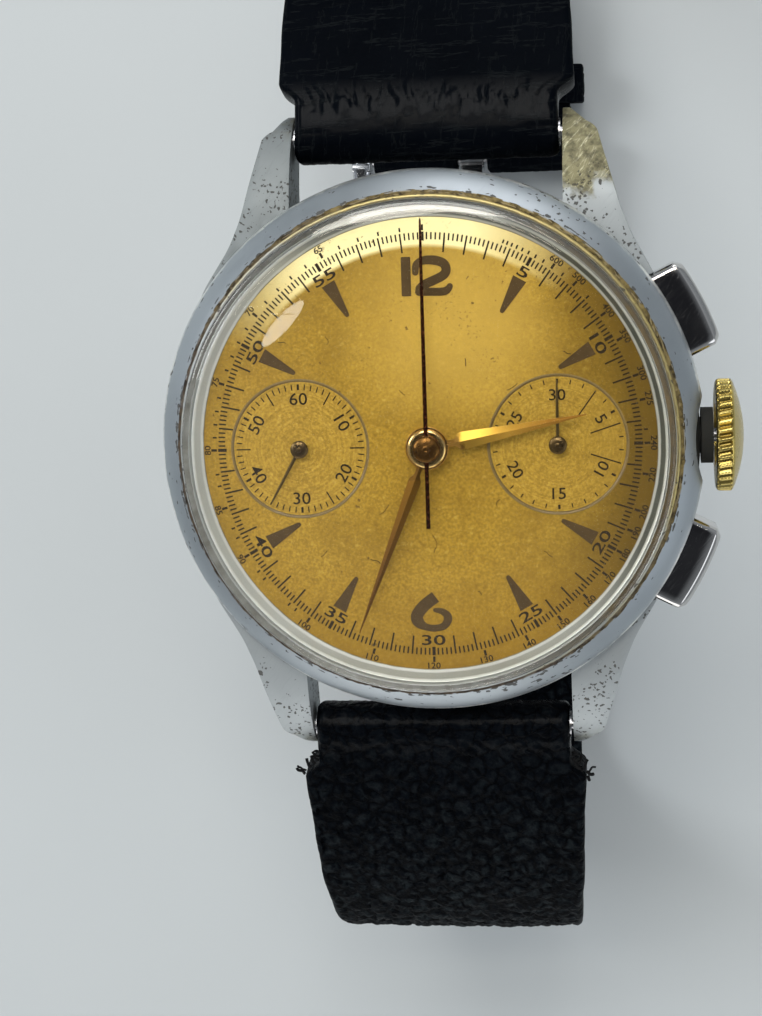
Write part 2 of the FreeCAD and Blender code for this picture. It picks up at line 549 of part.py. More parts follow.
def lever(q, tab, tip, w=0.55):
    s = ring(0.48, 0.95, -5.7, -6.0, *q)

    def arm(a, b, wa, wb):
        d = math.atan2(b[1] - a[1], b[0] - a[0])
        nx, ny = -math.sin(d), math.cos(d)
        return prism([(a[0] + nx * wa, a[1] + ny * wa), (b[0] + nx * wb, b[1] + ny * wb),
                      (b[0] - nx * wb, b[1] - ny * wb), (a[0] - nx * wa, a[1] - ny * wa)], -6.0, -5.7)
    s = s.fuse(arm(q, tab, 0.55, 0.35)).fuse(arm(q, tip, 0.55, 0.35))
    s = s.fuse(cyl(0.30, -3.1, -6.0, *tab))
    return s.cut(cyl(0.48, -7, -5, *q))


ta = math.radians(PUSH_ANG)
out("start_lever", lever(Q1, (13.75 * math.cos(ta), 13.75 * math.sin(ta)), (7.55, 11.0)))
ham = lever(Q2, (13.75 * math.cos(ta), -13.75 * math.sin(ta)), (3.6, -5.2))
ham = ham.fuse(prism([(3.0, -4.7), (3.5, -4.2), (4.2, -5.1), (3.6, -5.7)], -6.3, -5.7))
out("reset_hammer", ham)

# ---------------------------------------------------------------- hands


def leaf(length, tail, wmax, pos, w_root, w0, w1, hub_r, hub_bore, az, cx=0.0, cy=0.0, boss=None, thin=0.06, tail_w=None):
    """flat hand pointing along clock angle az (0 = +Y, clockwise)"""
    a = []
    n = 14
    for i in range(n + 1):
        t = i / n
        if t < pos:
            f = w_root + (wmax - w_root) * math.sin(math.pi / 2 * t / pos)
        else:
            f = thin + (wmax - thin) * math.cos(math.pi / 2 * (t - pos) / (1 - pos)) ** 0.9
        a.append((t * length, f / 2))
    pts = [(x, y) for x, y in a] + [(x, -y) for x, y in reversed(a)]
    s = prism(pts, w0, w1)
    if tail:
        tw = tail_w or w_root
        s = s.fuse(prism([(0, w_root / 2), (0, -w_root / 2), (-tail, -tw / 2), (-tail, tw / 2)], w0, w1))
    s = s.fuse(cyl(hub_r, w0, w1))
    if boss:
        s = s.fuse(boss)
    if hub_bore:
        s = s.cut(cyl(hub_bore, w0 - 2, w1 + 2))
    s.rotate(V(0, 0, 0), V(0, 0, 1), 90 - az)
    s.translate(V(cx, cy, 0))
    return s


out("hour_hand", leaf(10.5, 0, 1.4, 0.45, 0.55, 0.72, 0.85, 1.35, 1.05, 79.0))
out("minute_hand", leaf(13.1, 0, 0.98, 0.42, 0.45, 0.98, 1.09, 1.2, 0.72, 201.5))
hubd = rev([(0, 1.28), (0.85, 1.28), (0.85, 1.42), (0.7, 1.58), (0.4, 1.68), (0, 1.70)])
ch = leaf(14.8, 5.2, 0.36, 0.35, 0.34, 1.28, 1.36, 0.8, 0.0, 0.0, boss=hubd, thin=0.10, tail_w=0.5)
ch = ch.fuse(cyl(0.85, 1.18, 1.30)).cut(cyl(0.20, 0, 1.24))
out("chrono_hand", ch)
for nm, c, az, L in (("running_seconds_hand", S, 209.5, 4.0), ("minute_counter_hand", R, 0.0, 4.2)):
    boss = rev([(0, 0.30), (0.55, 0.30), (0.55, 0.46), (0.3, 0.55), (0, 0.57)])
    out(nm, leaf(L, 1.3, 0.30, 0.3, 0.26, 0.30, 0.38, 0.5, 0.0, az, c[0], c[1], boss=boss, thin=0.08, tail_w=0.3))

# ---------------------------------------------------------------- pushers


def pusher(sg):
    cap = ring(16, 20.6, STEM_W - 1.6, STEM_W + 1.6).common(box(17.3, 21, -3.0, 3.0, -6, 0))
    try:
        es = [x for x in cap.Edges if x.BoundBox.XMin > 18.6]
        f = cap.makeChamfer(0.32, es)
        if f.isValid() and f.Volume > 0.8 * cap.Volume:
            cap = f
    except Exception:
        pass
    s = cap.fuse(xcyl(0.50, 14.45, 17.4))
    s.rotate(V(0, 0, 0), V(0, 0, 1), sg * PUSH_ANG)
    return s


out("start_pusher", pusher(1))
out("reset_pusher", pusher(-1))
sp = []
for sg in (1, -1):
    s = xcyl(0.85, 16.37, 17.28).cut(xcyl(0.62, 16, 18))
    s = s.cut(box(16.55, 16.75, -2, 0.4, -6, 0)).cut(box(16.9, 17.1, -0.4, 2, -6, 0))
    s.rotate(V(0, 0, 0), V(0, 0, 1), sg * PUSH_ANG)
    sp.append(s)
out("start_pusher_spring", sp[0])
out("reset_pusher_spring", sp[1])

# ---------------------------------------------------------------- strap
# local frame: d = distance outward from the dial axis, z above the floor


def bez3(p, n):
    o = []
    for i in range(n + 1):
        t = i / n
        o.append(tuple((1 - t) ** 3 * p[0][k] + 3 * t * (1 - t) ** 2 * p[1][k] + 3 * t * t * (1 - t) * p[2][k] + t ** 3 * p[3][k] for k in (0, 1)))
    return o


def spine(zf):
    zb = Z0 + BAR_W
    p = bez3([(BAR_Y, zb), (27.0, zb - 1.4), (38.4, zb - 4.8), (38.4, 28.0)], 26)
    p += [(38.4, 28 - 11 * i / 4) for i in range(1, 5)]
    p += bez3([(38.4, 17.0), (38.4, 7.5), (37.3, zf), (30.0, zf)], 24)[1:]
    return p


def strap(sy, zf, d_end, w_end, loop_r, name_w):
    p = spine(zf)
    L = [0.0]
    for a, b in zip(p, p[1:]):
        L.append(L[-1] + math.hypot(b[0] - a[0], b[1] - a[1]))
    tot = L[-1] + 30.0 - d_end
    secs = []
    for i, (q, s) in enumerate(zip(p, L)):
        a = p[max(i - 1, 0)]
        b = p[min(i + 1, len(p) - 1)]
        dx, dz = b[0] - a[0], b[1] - a[1]
        k = math.hypot(dx, dz)
        nx, nz = -dz / k, dx / k          # one side of the path
        if s < 2.3:
            w = 17.6
        elif s < 4.2:
            w = 17.6 + (19.8 - 17.6) * (0.5 - 0.5 * math.cos(math.pi * (s - 2.3) / 1.9))
        else:
            w = 19.8 + (w_end - 19.8) * (s - 4.2) / (tot - 4.2)
        if s < 30:
            t = LEATHER_LUG + (LEATHER - LEATHER_LUG) * s / 30.0
        else:
            t = LEATHER
        if s == 0:
            t = 3.3
        pts = []
        for sx, st in ((-1, -1), (1, -1), (1, 1), (-1, 1)):
            pts.append(V(sx * w / 2, sy * (q[0] + st * nx * t / 2), q[1] + st * nz * t / 2 - Z0))
        secs.append(Part.makePolygon(pts + [pts[0]]))
    s = Part.makeLoft(secs, True, True)
    wf = 19.8 + (w_end - 19.8) * (L[-1] - 4.2) / (tot - 4.2)
    foot = prism([(-wf / 2, sy * 30.0), (wf / 2, sy * 30.0), (w_end / 2, sy * d_end), (-w_end / 2, sy * d_end)],
                 zf - LEATHER / 2 - Z0, zf + LEATHER / 2 - Z0)
    return s, foot, tot


def xc(r, y, w, hw):
    return Part.makeCylinder(r, 2 * hw, V(-hw, y, w), V(1, 0, 0))


# long half, six o'clock side, with rounded tip and holes
sl, fl, tl = strap(-1, LEATHER / 2, -1.0, 17.0, 1.95, "long")
print("long half path", round(tl, 2))
sl = sl.fuse(xc(1.68, -BAR_Y, BAR_W, 8.8))
tip = prism([(-8.5, 1.0), (8.5, 1.0), (7.6, 3.6), (5.2, 5.6), (2.0, 6.6), (-2.0, 6.6), (-5.2, 5.6), (-7.6, 3.6)], -Z0, -Z0 + LEATHER)
sl = sl.fuse(fl.fuse(tip).removeSplitter())
sl = sl.cut(xc(0.95, -BAR_Y, BAR_W, 10))
for i in range(6):
    sl = sl.cut(cyl(0.8, -Z0 - 1, -Z0 + 5, 0, -3.5 - 5.0 * i))
out("strap_long", sl.removeSplitter())

# short half, twelve o'clock side, ends in the buckle loop
ZS = 2.25
YB = 19.2
ss, fs, ts = strap(1, ZS, YB, 17.0, 1.95, "short")
print("short half path", round(ts, 2))
ss = ss.fuse(fs)
ss = ss.fuse(xc(1.68, BAR_Y, BAR_W, 8.8)).fuse(xc(1.5, YB, ZS - Z0, 8.5))
ss = ss.cut(xc(0.95, BAR_Y, BAR_W, 10)).cut(xc(0.75, YB, ZS - Z0, 10))
ss = ss.cut(box(-1.25, 1.25, YB - 3, YB + 3.4, -Z0 - 1, -Z0 + 6))
out("strap_short", ss.removeSplitter())

wk = 17.0 + (19.8 - 17.0) * 0.10
kp = box(-9.5, 9.5, 23.4, 26.6, -Z0, -Z0 + 4.2).cut(box(-8.74, 8.74, 20, 30, -Z0 + ZS - LEATHER / 2 - 0.02, -Z0 + ZS + LEATHER / 2 + 0.02))
out("fixed_keeper", kp)
# sliding keeper rides on the straight leg
hw = 9.5
ky = 38.4
sk = box(-hw - 0.8, hw + 0.8, ky - LEATHER / 2 - 0.95, ky + LEATHER / 2 + 0.95, 17.4 - Z0, 20.9 - Z0)
sk = sk.cut(box(-hw, hw, ky - LEATHER / 2 - 0.16, ky + LEATHER / 2 + 0.16, 0 - Z0, 40 - Z0))
out("sliding_keeper", sk)

# buckle
bar = xc(0.7, YB, ZS - Z0, 8.7).fuse(xc(0.4, YB, ZS - Z0, 9.55))
out("buckle_bar", bar)
fr = box(-10.4, 10.4, 9.0, 20.2, -Z0 + 1.25, -Z0 + 3.25).cut(box(-8.85, 8.85, 10.9, 30, -Z0, -Z0 + 6))
try:
    es = [x for x in fr.Edges if abs(x.BoundBox.ZLength) > 1.9 and x.BoundBox.YMax < 9.5]
    f = fr.makeFillet(2.2, es)
    if f.isValid():
        fr = f
except Exception:
    pass
fr = fr.fuse(xc(1.25, YB, ZS - Z0, 10.4).cut(xc(2.5, YB, ZS - Z0, 8.85)))
try:
    es = [x for x in fr.Edges if x.BoundBox.ZLength < 0.01 and x.BoundBox.ZMin > -Z0 + 3.2 and x.BoundBox.YMin < 17]
    f = fr.makeFillet(0.5, es)
    if f.isValid():
        fr = f
except Exception:
    pass
fr = fr.cut(xc(0.45, YB, ZS - Z0, 9.6))
fr = fr.cut(box(-1.15, 1.15, 8.0, 11.5, -Z0 + 2.95, -Z0 + 4.0))
out("buckle_frame", fr)
tg = xc(1.25, YB, ZS - Z0, 1.0).cut(xc(0.76, YB, ZS - Z0, 2))
prof = [(18.7, 3.15), (18.2, 3.35), (10.6, 3.75), (8.9, 3.45), (8.75, 3.0), (10.7, 3.0), (18.0, 2.45), (18.35, 1.9)]
pr = face([V(-0.85, y, z - Z0) for y, z in prof]).extrude(V(1.7, 0, 0))
tg = tg.fuse(pr).cut(xc(0.76, YB, ZS - Z0, 2))
out("buckle_tongue", tg)
print("files", len(os.listdir("parts")))
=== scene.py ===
import bpy, bmesh, math, json
from mathutils import Vector, Matrix, noise


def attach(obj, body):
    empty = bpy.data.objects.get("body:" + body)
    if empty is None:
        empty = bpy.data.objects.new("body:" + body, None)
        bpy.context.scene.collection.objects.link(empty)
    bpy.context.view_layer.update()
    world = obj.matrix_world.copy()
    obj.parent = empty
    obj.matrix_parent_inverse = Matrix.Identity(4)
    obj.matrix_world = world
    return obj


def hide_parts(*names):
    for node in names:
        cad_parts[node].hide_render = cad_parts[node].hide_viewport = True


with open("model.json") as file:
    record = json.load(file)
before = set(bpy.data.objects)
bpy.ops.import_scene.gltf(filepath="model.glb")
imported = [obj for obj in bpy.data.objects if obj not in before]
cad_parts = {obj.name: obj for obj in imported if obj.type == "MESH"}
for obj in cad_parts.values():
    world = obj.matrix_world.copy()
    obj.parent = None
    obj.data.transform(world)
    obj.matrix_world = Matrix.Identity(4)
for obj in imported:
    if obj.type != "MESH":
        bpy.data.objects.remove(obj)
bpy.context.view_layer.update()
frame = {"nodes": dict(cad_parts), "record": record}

NODES = frame["nodes"]
MM = 0.001
Z0 = 49.0
STEM_W = -3.45
PUSH_ANG = 26.7
SUB_X = 8.43


# ------------------------------------------------------------------ helpers
def P(x, y, w):
    return (x * MM, y * MM, (Z0 + w) * MM)


def add_mesh(name, verts, faces, mat=None, body="case", smooth=True, rep=(), sharp=None):
    me = bpy.data.meshes.new(name)
    me.from_pydata([P(*v) for v in verts], [], faces)
    me.validate()
    if smooth:
        for p in me.polygons:
            p.use_smooth = True
    o = bpy.data.objects.new(name, me)
    bpy.context.collection.objects.link(o)
    if sharp is not None:
        try:
            me.set_sharp_from_angle(angle=math.radians(sharp))
        except Exception:
            pass
    if mat:
        me.materials.append(mat)
    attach(o, body)
    if rep:
        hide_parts(*rep)
    return o


def fix_normals(o):
    bm = bmesh.new()
    bm.from_mesh(o.data)
    bmesh.ops.recalc_face_normals(bm, faces=bm.faces)
    bm.to_mesh(o.data)
    bm.free()


def bake(o):
    """apply the modifiers to the mesh"""
    dg = bpy.context.evaluated_depsgraph_get()
    me = bpy.data.meshes.new_from_object(o.evaluated_get(dg))
    o.modifiers.clear()
    o.data = me


def lathe(profile, n=192, closed=True, rmod=None, smooth_profile=False):
    """(r, w) profile turned about the dial axis"""
    v, f = [], []
    m = len(profile)
    for i in range(n):
        a = 2 * math.pi * i / n
        ca, sa = math.cos(a), math.sin(a)
        for j, (r, w) in enumerate(profile):
            rr = r if rmod is None else rmod(r, w, a, j)
            v.append((rr * ca, rr * sa, w))
    mm = m if closed else m - 1
    for i in range(n):
        k = (i + 1) % n
        for j in range(mm):
            jj = (j + 1) % m
            f.append((i * m + j, k * m + j, k * m + jj, i * m + jj))
    return v, f


def merge_axis(o, tol=1e-7):
    bm = bmesh.new()
    bm.from_mesh(o.data)
    bmesh.ops.remove_doubles(bm, verts=bm.verts, dist=tol)
    bmesh.ops.dissolve_degenerate(bm, edges=bm.edges, dist=tol)
    bmesh.ops.recalc_face_normals(bm, faces=bm.faces)
    bm.to_mesh(o.data)
    bm.free()
    for p in o.data.polygons:
        p.use_smooth = True


def arc(cx, cw, r, a0, a1, n):
    return [(cx + r * math.cos(math.radians(a0 + (a1 - a0) * i / n)), cw + r * math.sin(math.radians(a0 + (a1 - a0) * i / n))) for i in range(n + 1)]


# ------------------------------------------------------------------ material helpers
class NT:
    def __init__(self, name):
        self.m = bpy.data.materials.new(name)
        self.m.use_nodes = True
        self.t = self.m.node_tree
        self.t.nodes.clear()
        self.out = self.t.nodes.new("ShaderNodeOutputMaterial")
        self.co = self.t.nodes.new("ShaderNodeTexCoord").outputs["Object"]

    def n(self, kind, **kw):
        nd = self.t.nodes.new("ShaderNode" + kind)
        for k, v in kw.items():
            if k.startswith("_"):
                setattr(nd, k[1:], v)
            else:
                s = nd.inputs[k.replace("__", " ")] if isinstance(k, str) else nd.inputs[k]
                if hasattr(v, "is_linked") or isinstance(v, bpy.types.NodeSocket):
                    self.t.links.new(v, s)
                else:
                    s.default_value = v
        return nd

    def link(self, a, b):
        self.t.links.new(a, b)

    def noise(self, scale, detail=3.0, rough=0.5, vec=None, dist=0.0):
        nd = self.n("TexNoise", Scale=scale, Detail=detail, Roughness=rough, Distortion=dist)
        self.link(vec or self.co, nd.inputs["Vector"])
        return nd.outputs["Fac"]

    def voro(self, scale, vec=None, feature="F1", out="Distance", rnd=1.0):
        nd = self.n("TexVoronoi", Scale=scale, Randomness=rnd, _feature=feature)
        self.link(vec or self.co, nd.inputs["Vector"])
        return nd.outputs[out]

    def ramp(self, fac, stops, interp="LINEAR"):
        nd = self.t.nodes.new("ShaderNodeValToRGB")
        nd.color_ramp.interpolation = interp
        el = nd.color_ramp.elements
        while len(el) > 1:
            el.remove(el[-1])
        el[0].position = stops[0][0]
        c = stops[0][1]
        el[0].color = (c, c, c, 1) if not isinstance(c, tuple) else (*c[:3], 1)
        for p, c in stops[1:]:
            e = el.new(p)
            e.color = (c, c, c, 1) if not isinstance(c, tuple) else (*c[:3], 1)
        self.link(fac, nd.inputs["Fac"])
        return nd.outputs["Color"]

    def mix(self, fac, a, b, mode="MIX"):
        nd = self.t.nodes.new("ShaderNodeMix")
        nd.data_type = "RGBA"
        nd.blend_type = mode
        nd.clamp_factor = True
        for s, v in ((nd.inputs["Factor"], fac), (nd.inputs[6], a), (nd.inputs[7], b)):
            if isinstance(v, bpy.types.NodeSocket):
                self.link(v, s)
            elif isinstance(v, tuple):
                s.default_value = (*v[:3], 1)
            elif s.type == "RGBA":
                s.default_value = (v, v, v, 1)
            else:
                s.default_value = v
        return nd.outputs[2]

    def math(self, op, a, b=0.0, c=None, clamp=False):
        nd = self.t.nodes.new("ShaderNodeMath")
        nd.operation = op
        nd.use_clamp = clamp
        for i, v in enumerate((a, b) if c is None else (a, b, c)):
            if isinstance(v, bpy.types.NodeSocket):
                self.link(v, nd.inputs[i])
            else:
                nd.inputs[i].default_value = v
        return nd.outputs[0]

    def xyz(self):
        nd = self.t.nodes.new("ShaderNodeSeparateXYZ")
        self.link(self.co, nd.inputs[0])
        return nd.outputs

    def mapping(self, scale=(1, 1, 1), loc=(0, 0, 0), rot=(0, 0, 0), vec=None):
        nd = self.t.nodes.new("ShaderNodeMapping")
        nd.inputs["Scale"].default_value = scale
        nd.inputs["Location"].default_value = loc
        nd.inputs["Rotation"].default_value = rot
        self.link(vec or self.co, nd.inputs["Vector"])
        return nd.outputs[0]

    def lines(self, ang, fu, fv, seed=0.0, detail=3.0, rough=0.6):
        """noise drawn out into lines running at the angle ang in plan"""
        x, y, z = self.xyz()
        c, s_ = math.cos(ang), math.sin(ang)
        u = self.math("ADD", self.math("MULTIPLY", x, c * fu), self.math("MULTIPLY", y, s_ * fu))
        v = self.math("ADD", self.math("MULTIPLY", x, -s_ * fv), self.math("MULTIPLY", y, c * fv))
        cv = self.n("CombineXYZ")
        self.link(u, cv.inputs[0])
        self.link(v, cv.inputs[1])
        self.link(self.math("MULTIPLY", z, 700.0), cv.inputs[2])
        return self.noise(1.0, detail, rough, self.mapping(loc=(seed, seed * 1.7, seed * 0.3), vec=cv.outputs[0]))

    def bump(self, height, strength=0.5, dist=0.0001, normal=None):
        nd = self.t.nodes.new("ShaderNodeBump")
        nd.inputs["Strength"].default_value = strength
        nd.inputs["Distance"].default_value = dist
        self.link(height, nd.inputs["Height"])
        if normal:
            self.link(normal, nd.inputs["Normal"])
        return nd.outputs[0]

    def principled(self, color, rough, metal=0.0, normal=None, **kw):
        nd = self.t.nodes.new("ShaderNodeBsdfPrincipled")
        for key, v in (("Base Color", color), ("Roughness", rough), ("Metallic", metal)):
            if isinstance(v, bpy.types.NodeSocket):
                self.link(v, nd.inputs[key])
            elif isinstance(v, tuple):
                nd.inputs[key].default_value = (*v[:3], 1)
            else:
                nd.inputs[key].default_value = v
        if normal:
            self.link(normal, nd.inputs["Normal"])
        for k, v in kw.items():
            k = k.replace("_", " ")
            if isinstance(v, bpy.types.NodeSocket):
                self.link(v, nd.inputs[k])
            else:
                nd.inputs[k].default_value = (*v, 1) if isinstance(v, tuple) else v
        self.link(nd.outputs[0], self.out.inputs["Surface"])
        return nd


CHROME = (0.74, 0.75, 0.77)
BRASS = (0.60, 0.45, 0.20)
PIT = (0.045, 0.04, 0.032)


def pits(t, scale=2400.0, size=0.2, seed=0.0, dens=0.5, polar=False, gate_scale=330.0):
    """dark corrosion specks and short dashes where a slow noise lets them"""
    if polar:
        x, y, z = t.xyz()
        th = t.math("ARCTAN2", y, x)
        r = t.math("SQRT", t.math("ADD", t.math("MULTIPLY", x, x), t.math("MULTIPLY", y, y)))
        cv = t.n("CombineXYZ")
        t.link(t.math("MULTIPLY", th, 0.0095), cv.inputs[0])
        t.link(r, cv.inputs[1])
        t.link(z, cv.inputs[2])
        src = cv.outputs[0]
    else:
        src = t.co
    v = t.mapping((1.0, 1.0, 1.0), (seed, seed * 0.7, seed * 1.3), vec=src)
    warp = t.n("VectorMath", _operation="ADD")
    nz = t.n("TexNoise", Scale=2600.0, Detail=3.0)
    t.link(v, nz.inputs["Vector"])
    sc = t.n("VectorMath", _operation="SCALE")
    t.link(nz.outputs["Color"], sc.inputs[0])
    sc.inputs["Scale"].default_value = 0.0006
    t.link(v, warp.inputs[0])
    t.link(sc.outputs[0], warp.inputs[1])
    d = t.voro(scale, warp.outputs[0])
    gate = t.noise(gate_scale, 4.0, 0.6, v)
    lim = t.ramp(gate, [(dens, 0.0), (dens + 0.16, size)])
    return t.math("LESS_THAN", d, lim)


def chrome_mat(name, base=CHROME, rough=0.16, pit_scale=2400.0, pit_size=0.22, pit_dens=0.5, seed=0.0, lug_wear=False, lip=False, polar=False, edge_y=False):
    t = NT(name)
    x, y, z = t.xyz()
    n1 = t.noise(420.0, 5.0, 0.6)
    n2 = t.noise(90.0, 4.0, 0.55)
    col = t.mix(t.ramp(n2, [(0.35, 0.0), (0.7, 1.0)]), base, tuple(c * 0.88 for c in base))
    # short diagonal scratches
    s1 = t.lines(0.85, 620.0, 6200.0, 1.0)
    s2 = t.lines(1.15, 700.0, 6800.0, 5.0)
    s3 = t.lines(0.55, 760.0, 5600.0, 9.0)
    scr = t.math("ADD", t.ramp(s1, [(0.58, 0.0), (0.72, 1.0)]), t.ramp(s2, [(0.60, 0.0), (0.74, 1.0)]))
    scr = t.math("ADD", scr, t.ramp(s3, [(0.62, 0.0), (0.74, 0.7)]))
    bm = None
    if lug_wear:
        # base metal shows on the upper right lug top, in specks near the other lug tips
        ay = t.math("ABSOLUTE", y)
        q = t.math("ADD", t.math("MULTIPLY", y, 1000.0), t.math("MULTIPLY", t.math("SUBTRACT", n1, 0.5), 5.0))
        up = t.math("MULTIPLY", t.math("GREATER_THAN", x, 0.008), t.ramp(t.math("MULTIPLY", q, 0.04), [(0.645, 0.0), (0.675, 1.0)]))
        up = t.math("MULTIPLY", up, t.math("GREATER_THAN", z, 0.0415))
        tip = t.math("MULTIPLY", t.ramp(t.math("MULTIPLY", ay, 40.0), [(0.80, 0.0), (0.88, 0.7)]), t.ramp(n1, [(0.50, 0.0), (0.62, 1.0)]))
        bm = t.math("MAXIMUM", t.math("MULTIPLY", up, 0.92), tip)
    if bm is not None:
        # painted shade: the upper left lug is darkened to a grey
        tl_painted_shade = t.math("MULTIPLY", t.ramp(t.math("MULTIPLY", x, -50.0), [(0.10, 0.0), (0.40, 1.0)]), t.ramp(t.math("MULTIPLY", y, 50.0), [(0.10, 0.0), (0.60, 1.0)]))
        col = t.mix(t.math("MULTIPLY", tl_painted_shade, 0.62), col, (0.185, 0.205, 0.205))
        bcol = t.mix(t.math("MULTIPLY", scr, 0.75, clamp=True), (0.36, 0.33, 0.19), (1.0, 0.96, 0.74))
        bcol = t.mix(t.ramp(t.noise(1700.0, 3.0, 0.6), [(0.36, 0.75), (0.56, 0.0)]), bcol, (0.10, 0.085, 0.045))
        col = t.mix(bm, col, bcol)
    dirt = None
    if lip:
        r = t.math("SQRT", t.math("ADD", t.math("MULTIPLY", x, x), t.math("MULTIPLY", y, y)))
        rj = t.math("ADD", t.math("MULTIPLY", r, 1000.0), t.math("MULTIPLY", t.math("SUBTRACT", t.noise(1500.0, 3.0, 0.6), 0.5), 0.22))
        edge = t.ramp(t.math("SUBTRACT", rj, 16.0), [(0.30, 0.0), (0.36, 0.8), (0.56, 1.0), (0.66, 0.0)])
        edge = t.math("MULTIPLY", edge, t.math("LESS_THAN", rj, 17.02))
        warm = t.math("ADD", t.math("MULTIPLY", t.math("ADD", x, y), 22.0), t.math("ADD", t.math("MULTIPLY", n1, 0.8), -0.15), clamp=True)
        dcol = t.mix(warm, (0.15, 0.105, 0.07), (0.50, 0.38, 0.14))
        lipb = t.ramp(t.math("SUBTRACT", rj, 16.0), [(0.02, 0.0), (0.08, 1.0), (0.38, 1.0), (0.44, 0.0)])
        lipw = t.math("MULTIPLY", lipb, t.ramp(t.math("ADD", warm, t.math("SUBTRACT", n2, 0.5)), [(0.12, 0.12), (0.55, 0.92)]))
        col = t.mix(lipw, col, t.mix(t.ramp(t.math("SUBTRACT", rj, 16.0), [(0.20, 0.0), (0.27, 1.0)]), (0.26, 0.21, 0.095), (0.60, 0.49, 0.20)))
        col = t.mix(t.math("MULTIPLY", edge, 0.88), col, dcol)
        dirt = edge
        # painted highlight: a bright pale line along the outer edge of the bezel, broken up by noise
        rub = t.math("MULTIPLY", t.ramp(t.math("SUBTRACT", rj, 17.0), [(0.84, 0.0), (0.92, 0.9)]), t.ramp(n1, [(0.42, 0.25), (0.60, 1.0)]))
        col = t.mix(rub, col, (0.90, 0.90, 0.86))
    pm = pits(t, pit_scale, pit_size, seed, pit_dens, polar)
    pm2 = pits(t, pit_scale * 0.55, pit_size * 0.9, seed + 0.11, pit_dens + 0.09, polar)
    pm = t.math("MAXIMUM", pm, pm2)
    if lip:
        band = t.ramp(t.math("SUBTRACT", rj, 16.0), [(0.40, 0.0), (0.50, 1.0), (0.99, 1.0)])
        band2 = t.math("LESS_THAN", rj, 16.86)
        pm3 = pits(t, 2600.0, 0.42, 0.21, 0.40, polar)
        pm = t.math("MAXIMUM", pm, t.math("MULTIPLY", pm3, t.math("MULTIPLY", band, band2)))
    col = t.mix(t.math("MULTIPLY", pm, 0.85), col, PIT)
    # painted shade with some grime in the recess round the crown: darker, rougher and less metallic there
    cx_ = t.math("SUBTRACT", x, 0.0203)
    cz_ = t.math("SUBTRACT", z, (Z0 + STEM_W) * MM)
    dd = t.math("SQRT", t.math("ADD", t.math("ADD", t.math("MULTIPLY", cx_, cx_), t.math("MULTIPLY", y, y)), t.math("MULTIPLY", cz_, cz_)))
    recess_shade_and_grime = t.ramp(t.math("ADD", t.math("MULTIPLY", dd, 100.0), t.math("MULTIPLY", n1, 0.03)), [(0.435, 1.0), (0.452, 0.0)])
    col = t.mix(t.math("MULTIPLY", recess_shade_and_grime, 0.95), col, (0.014, 0.013, 0.010))
    ro = t.math("ADD", t.math("MULTIPLY", n1, 0.14), rough - 0.06)
    ro = t.math("ADD", ro, t.math("MULTIPLY", recess_shade_and_grime, 0.25))
    ro = t.math("ADD", ro, t.math("MULTIPLY", scr, 0.07))
    if bm is not None:
        ro = t.math("ADD", ro, t.math("MULTIPLY", bm, 0.14))
    if dirt is not None:
        ro = t.math("ADD", ro, t.math("MULTIPLY", dirt, 0.35))
    ro = t.mix(pm, ro, 0.75)
    h = t.math("SUBTRACT", t.math("MULTIPLY", n1, 0.16), t.math("MULTIPLY", pm, 1.2))
    h = t.math("SUBTRACT", h, t.math("MULTIPLY", scr, 0.10 if bm is None else 0.22))
    nb = t.bump(h, 0.5, 0.00003)
    t.principled(col, ro, t.math("SUBTRACT", t.mix(pm, 1.0, 0.2), t.math("MULTIPLY", recess_shade_and_grime, 0.7), clamp=True), nb)
    return t.m


def metal_mat(name, base, rough=0.3, brushed=None, spots=0.0, seed=0.0, bump=0.25):
    t = NT(name)
    n1 = t.noise(500.0, 4.0, 0.55)
    col = t.mix(n1, tuple(c * 0.82 for c in base), tuple(min(1, c * 1.08) for c in base))
    if spots:
        col = t.mix(t.math("MULTIPLY", pits(t, 3200.0, 0.25, seed, 0.54), 0.7), col, tuple(c * 0.25 for c in base))
    if brushed == "x":
        s = t.noise(1.0, 2.0, 0.5, t.mapping((200, 9000, 9000)))
    elif brushed == "ring":
        x, y, z = t.xyz()
        r = t.math("SQRT", t.math("ADD", t.math("MULTIPLY", x, x), t.math("MULTIPLY", y, y)))
        cv = t.n("CombineXYZ")
        t.link(r, cv.inputs[0])
        s = t.noise(14000.0, 2.0, 0.5, cv.outputs[0])
    else:
        s = t.noise(3000.0, 3.0, 0.5)
    ro = t.math("ADD", t.math("MULTIPLY", s, 0.2), rough - 0.1)
    t.principled(col, ro, 1.0, t.bump(s, bump, 0.00001))
    return t.m


CH = (0.42, 0.455, 0.485)
M_bezel = chrome_mat("bezel_chrome", CH, rough=0.42, pit_scale=2500.0, pit_size=0.34, pit_dens=0.450, lip=True, polar=True)
M_case = chrome_mat("case_chrome_worn", (0.46, 0.487, 0.497), rough=0.62, pit_scale=3000.0, pit_size=0.34, pit_dens=0.425, seed=0.013, lug_wear=True)
M_push = chrome_mat("pusher_chrome", (0.62, 0.60, 0.585), rough=0.09, pit_scale=2600.0, pit_size=0.20, pit_dens=0.62, seed=0.03)
M_buckle = chrome_mat("buckle_chrome", (0.62, 0.63, 0.65), rough=0.14, pit_scale=1800.0, pit_size=0.22, pit_dens=0.58, seed=0.05)
M_back = metal_mat("back_steel", (0.56, 0.56, 0.57), 0.28, "ring", 0.0)
M_steel = metal_mat("spring_steel", (0.50, 0.50, 0.52), 0.28)


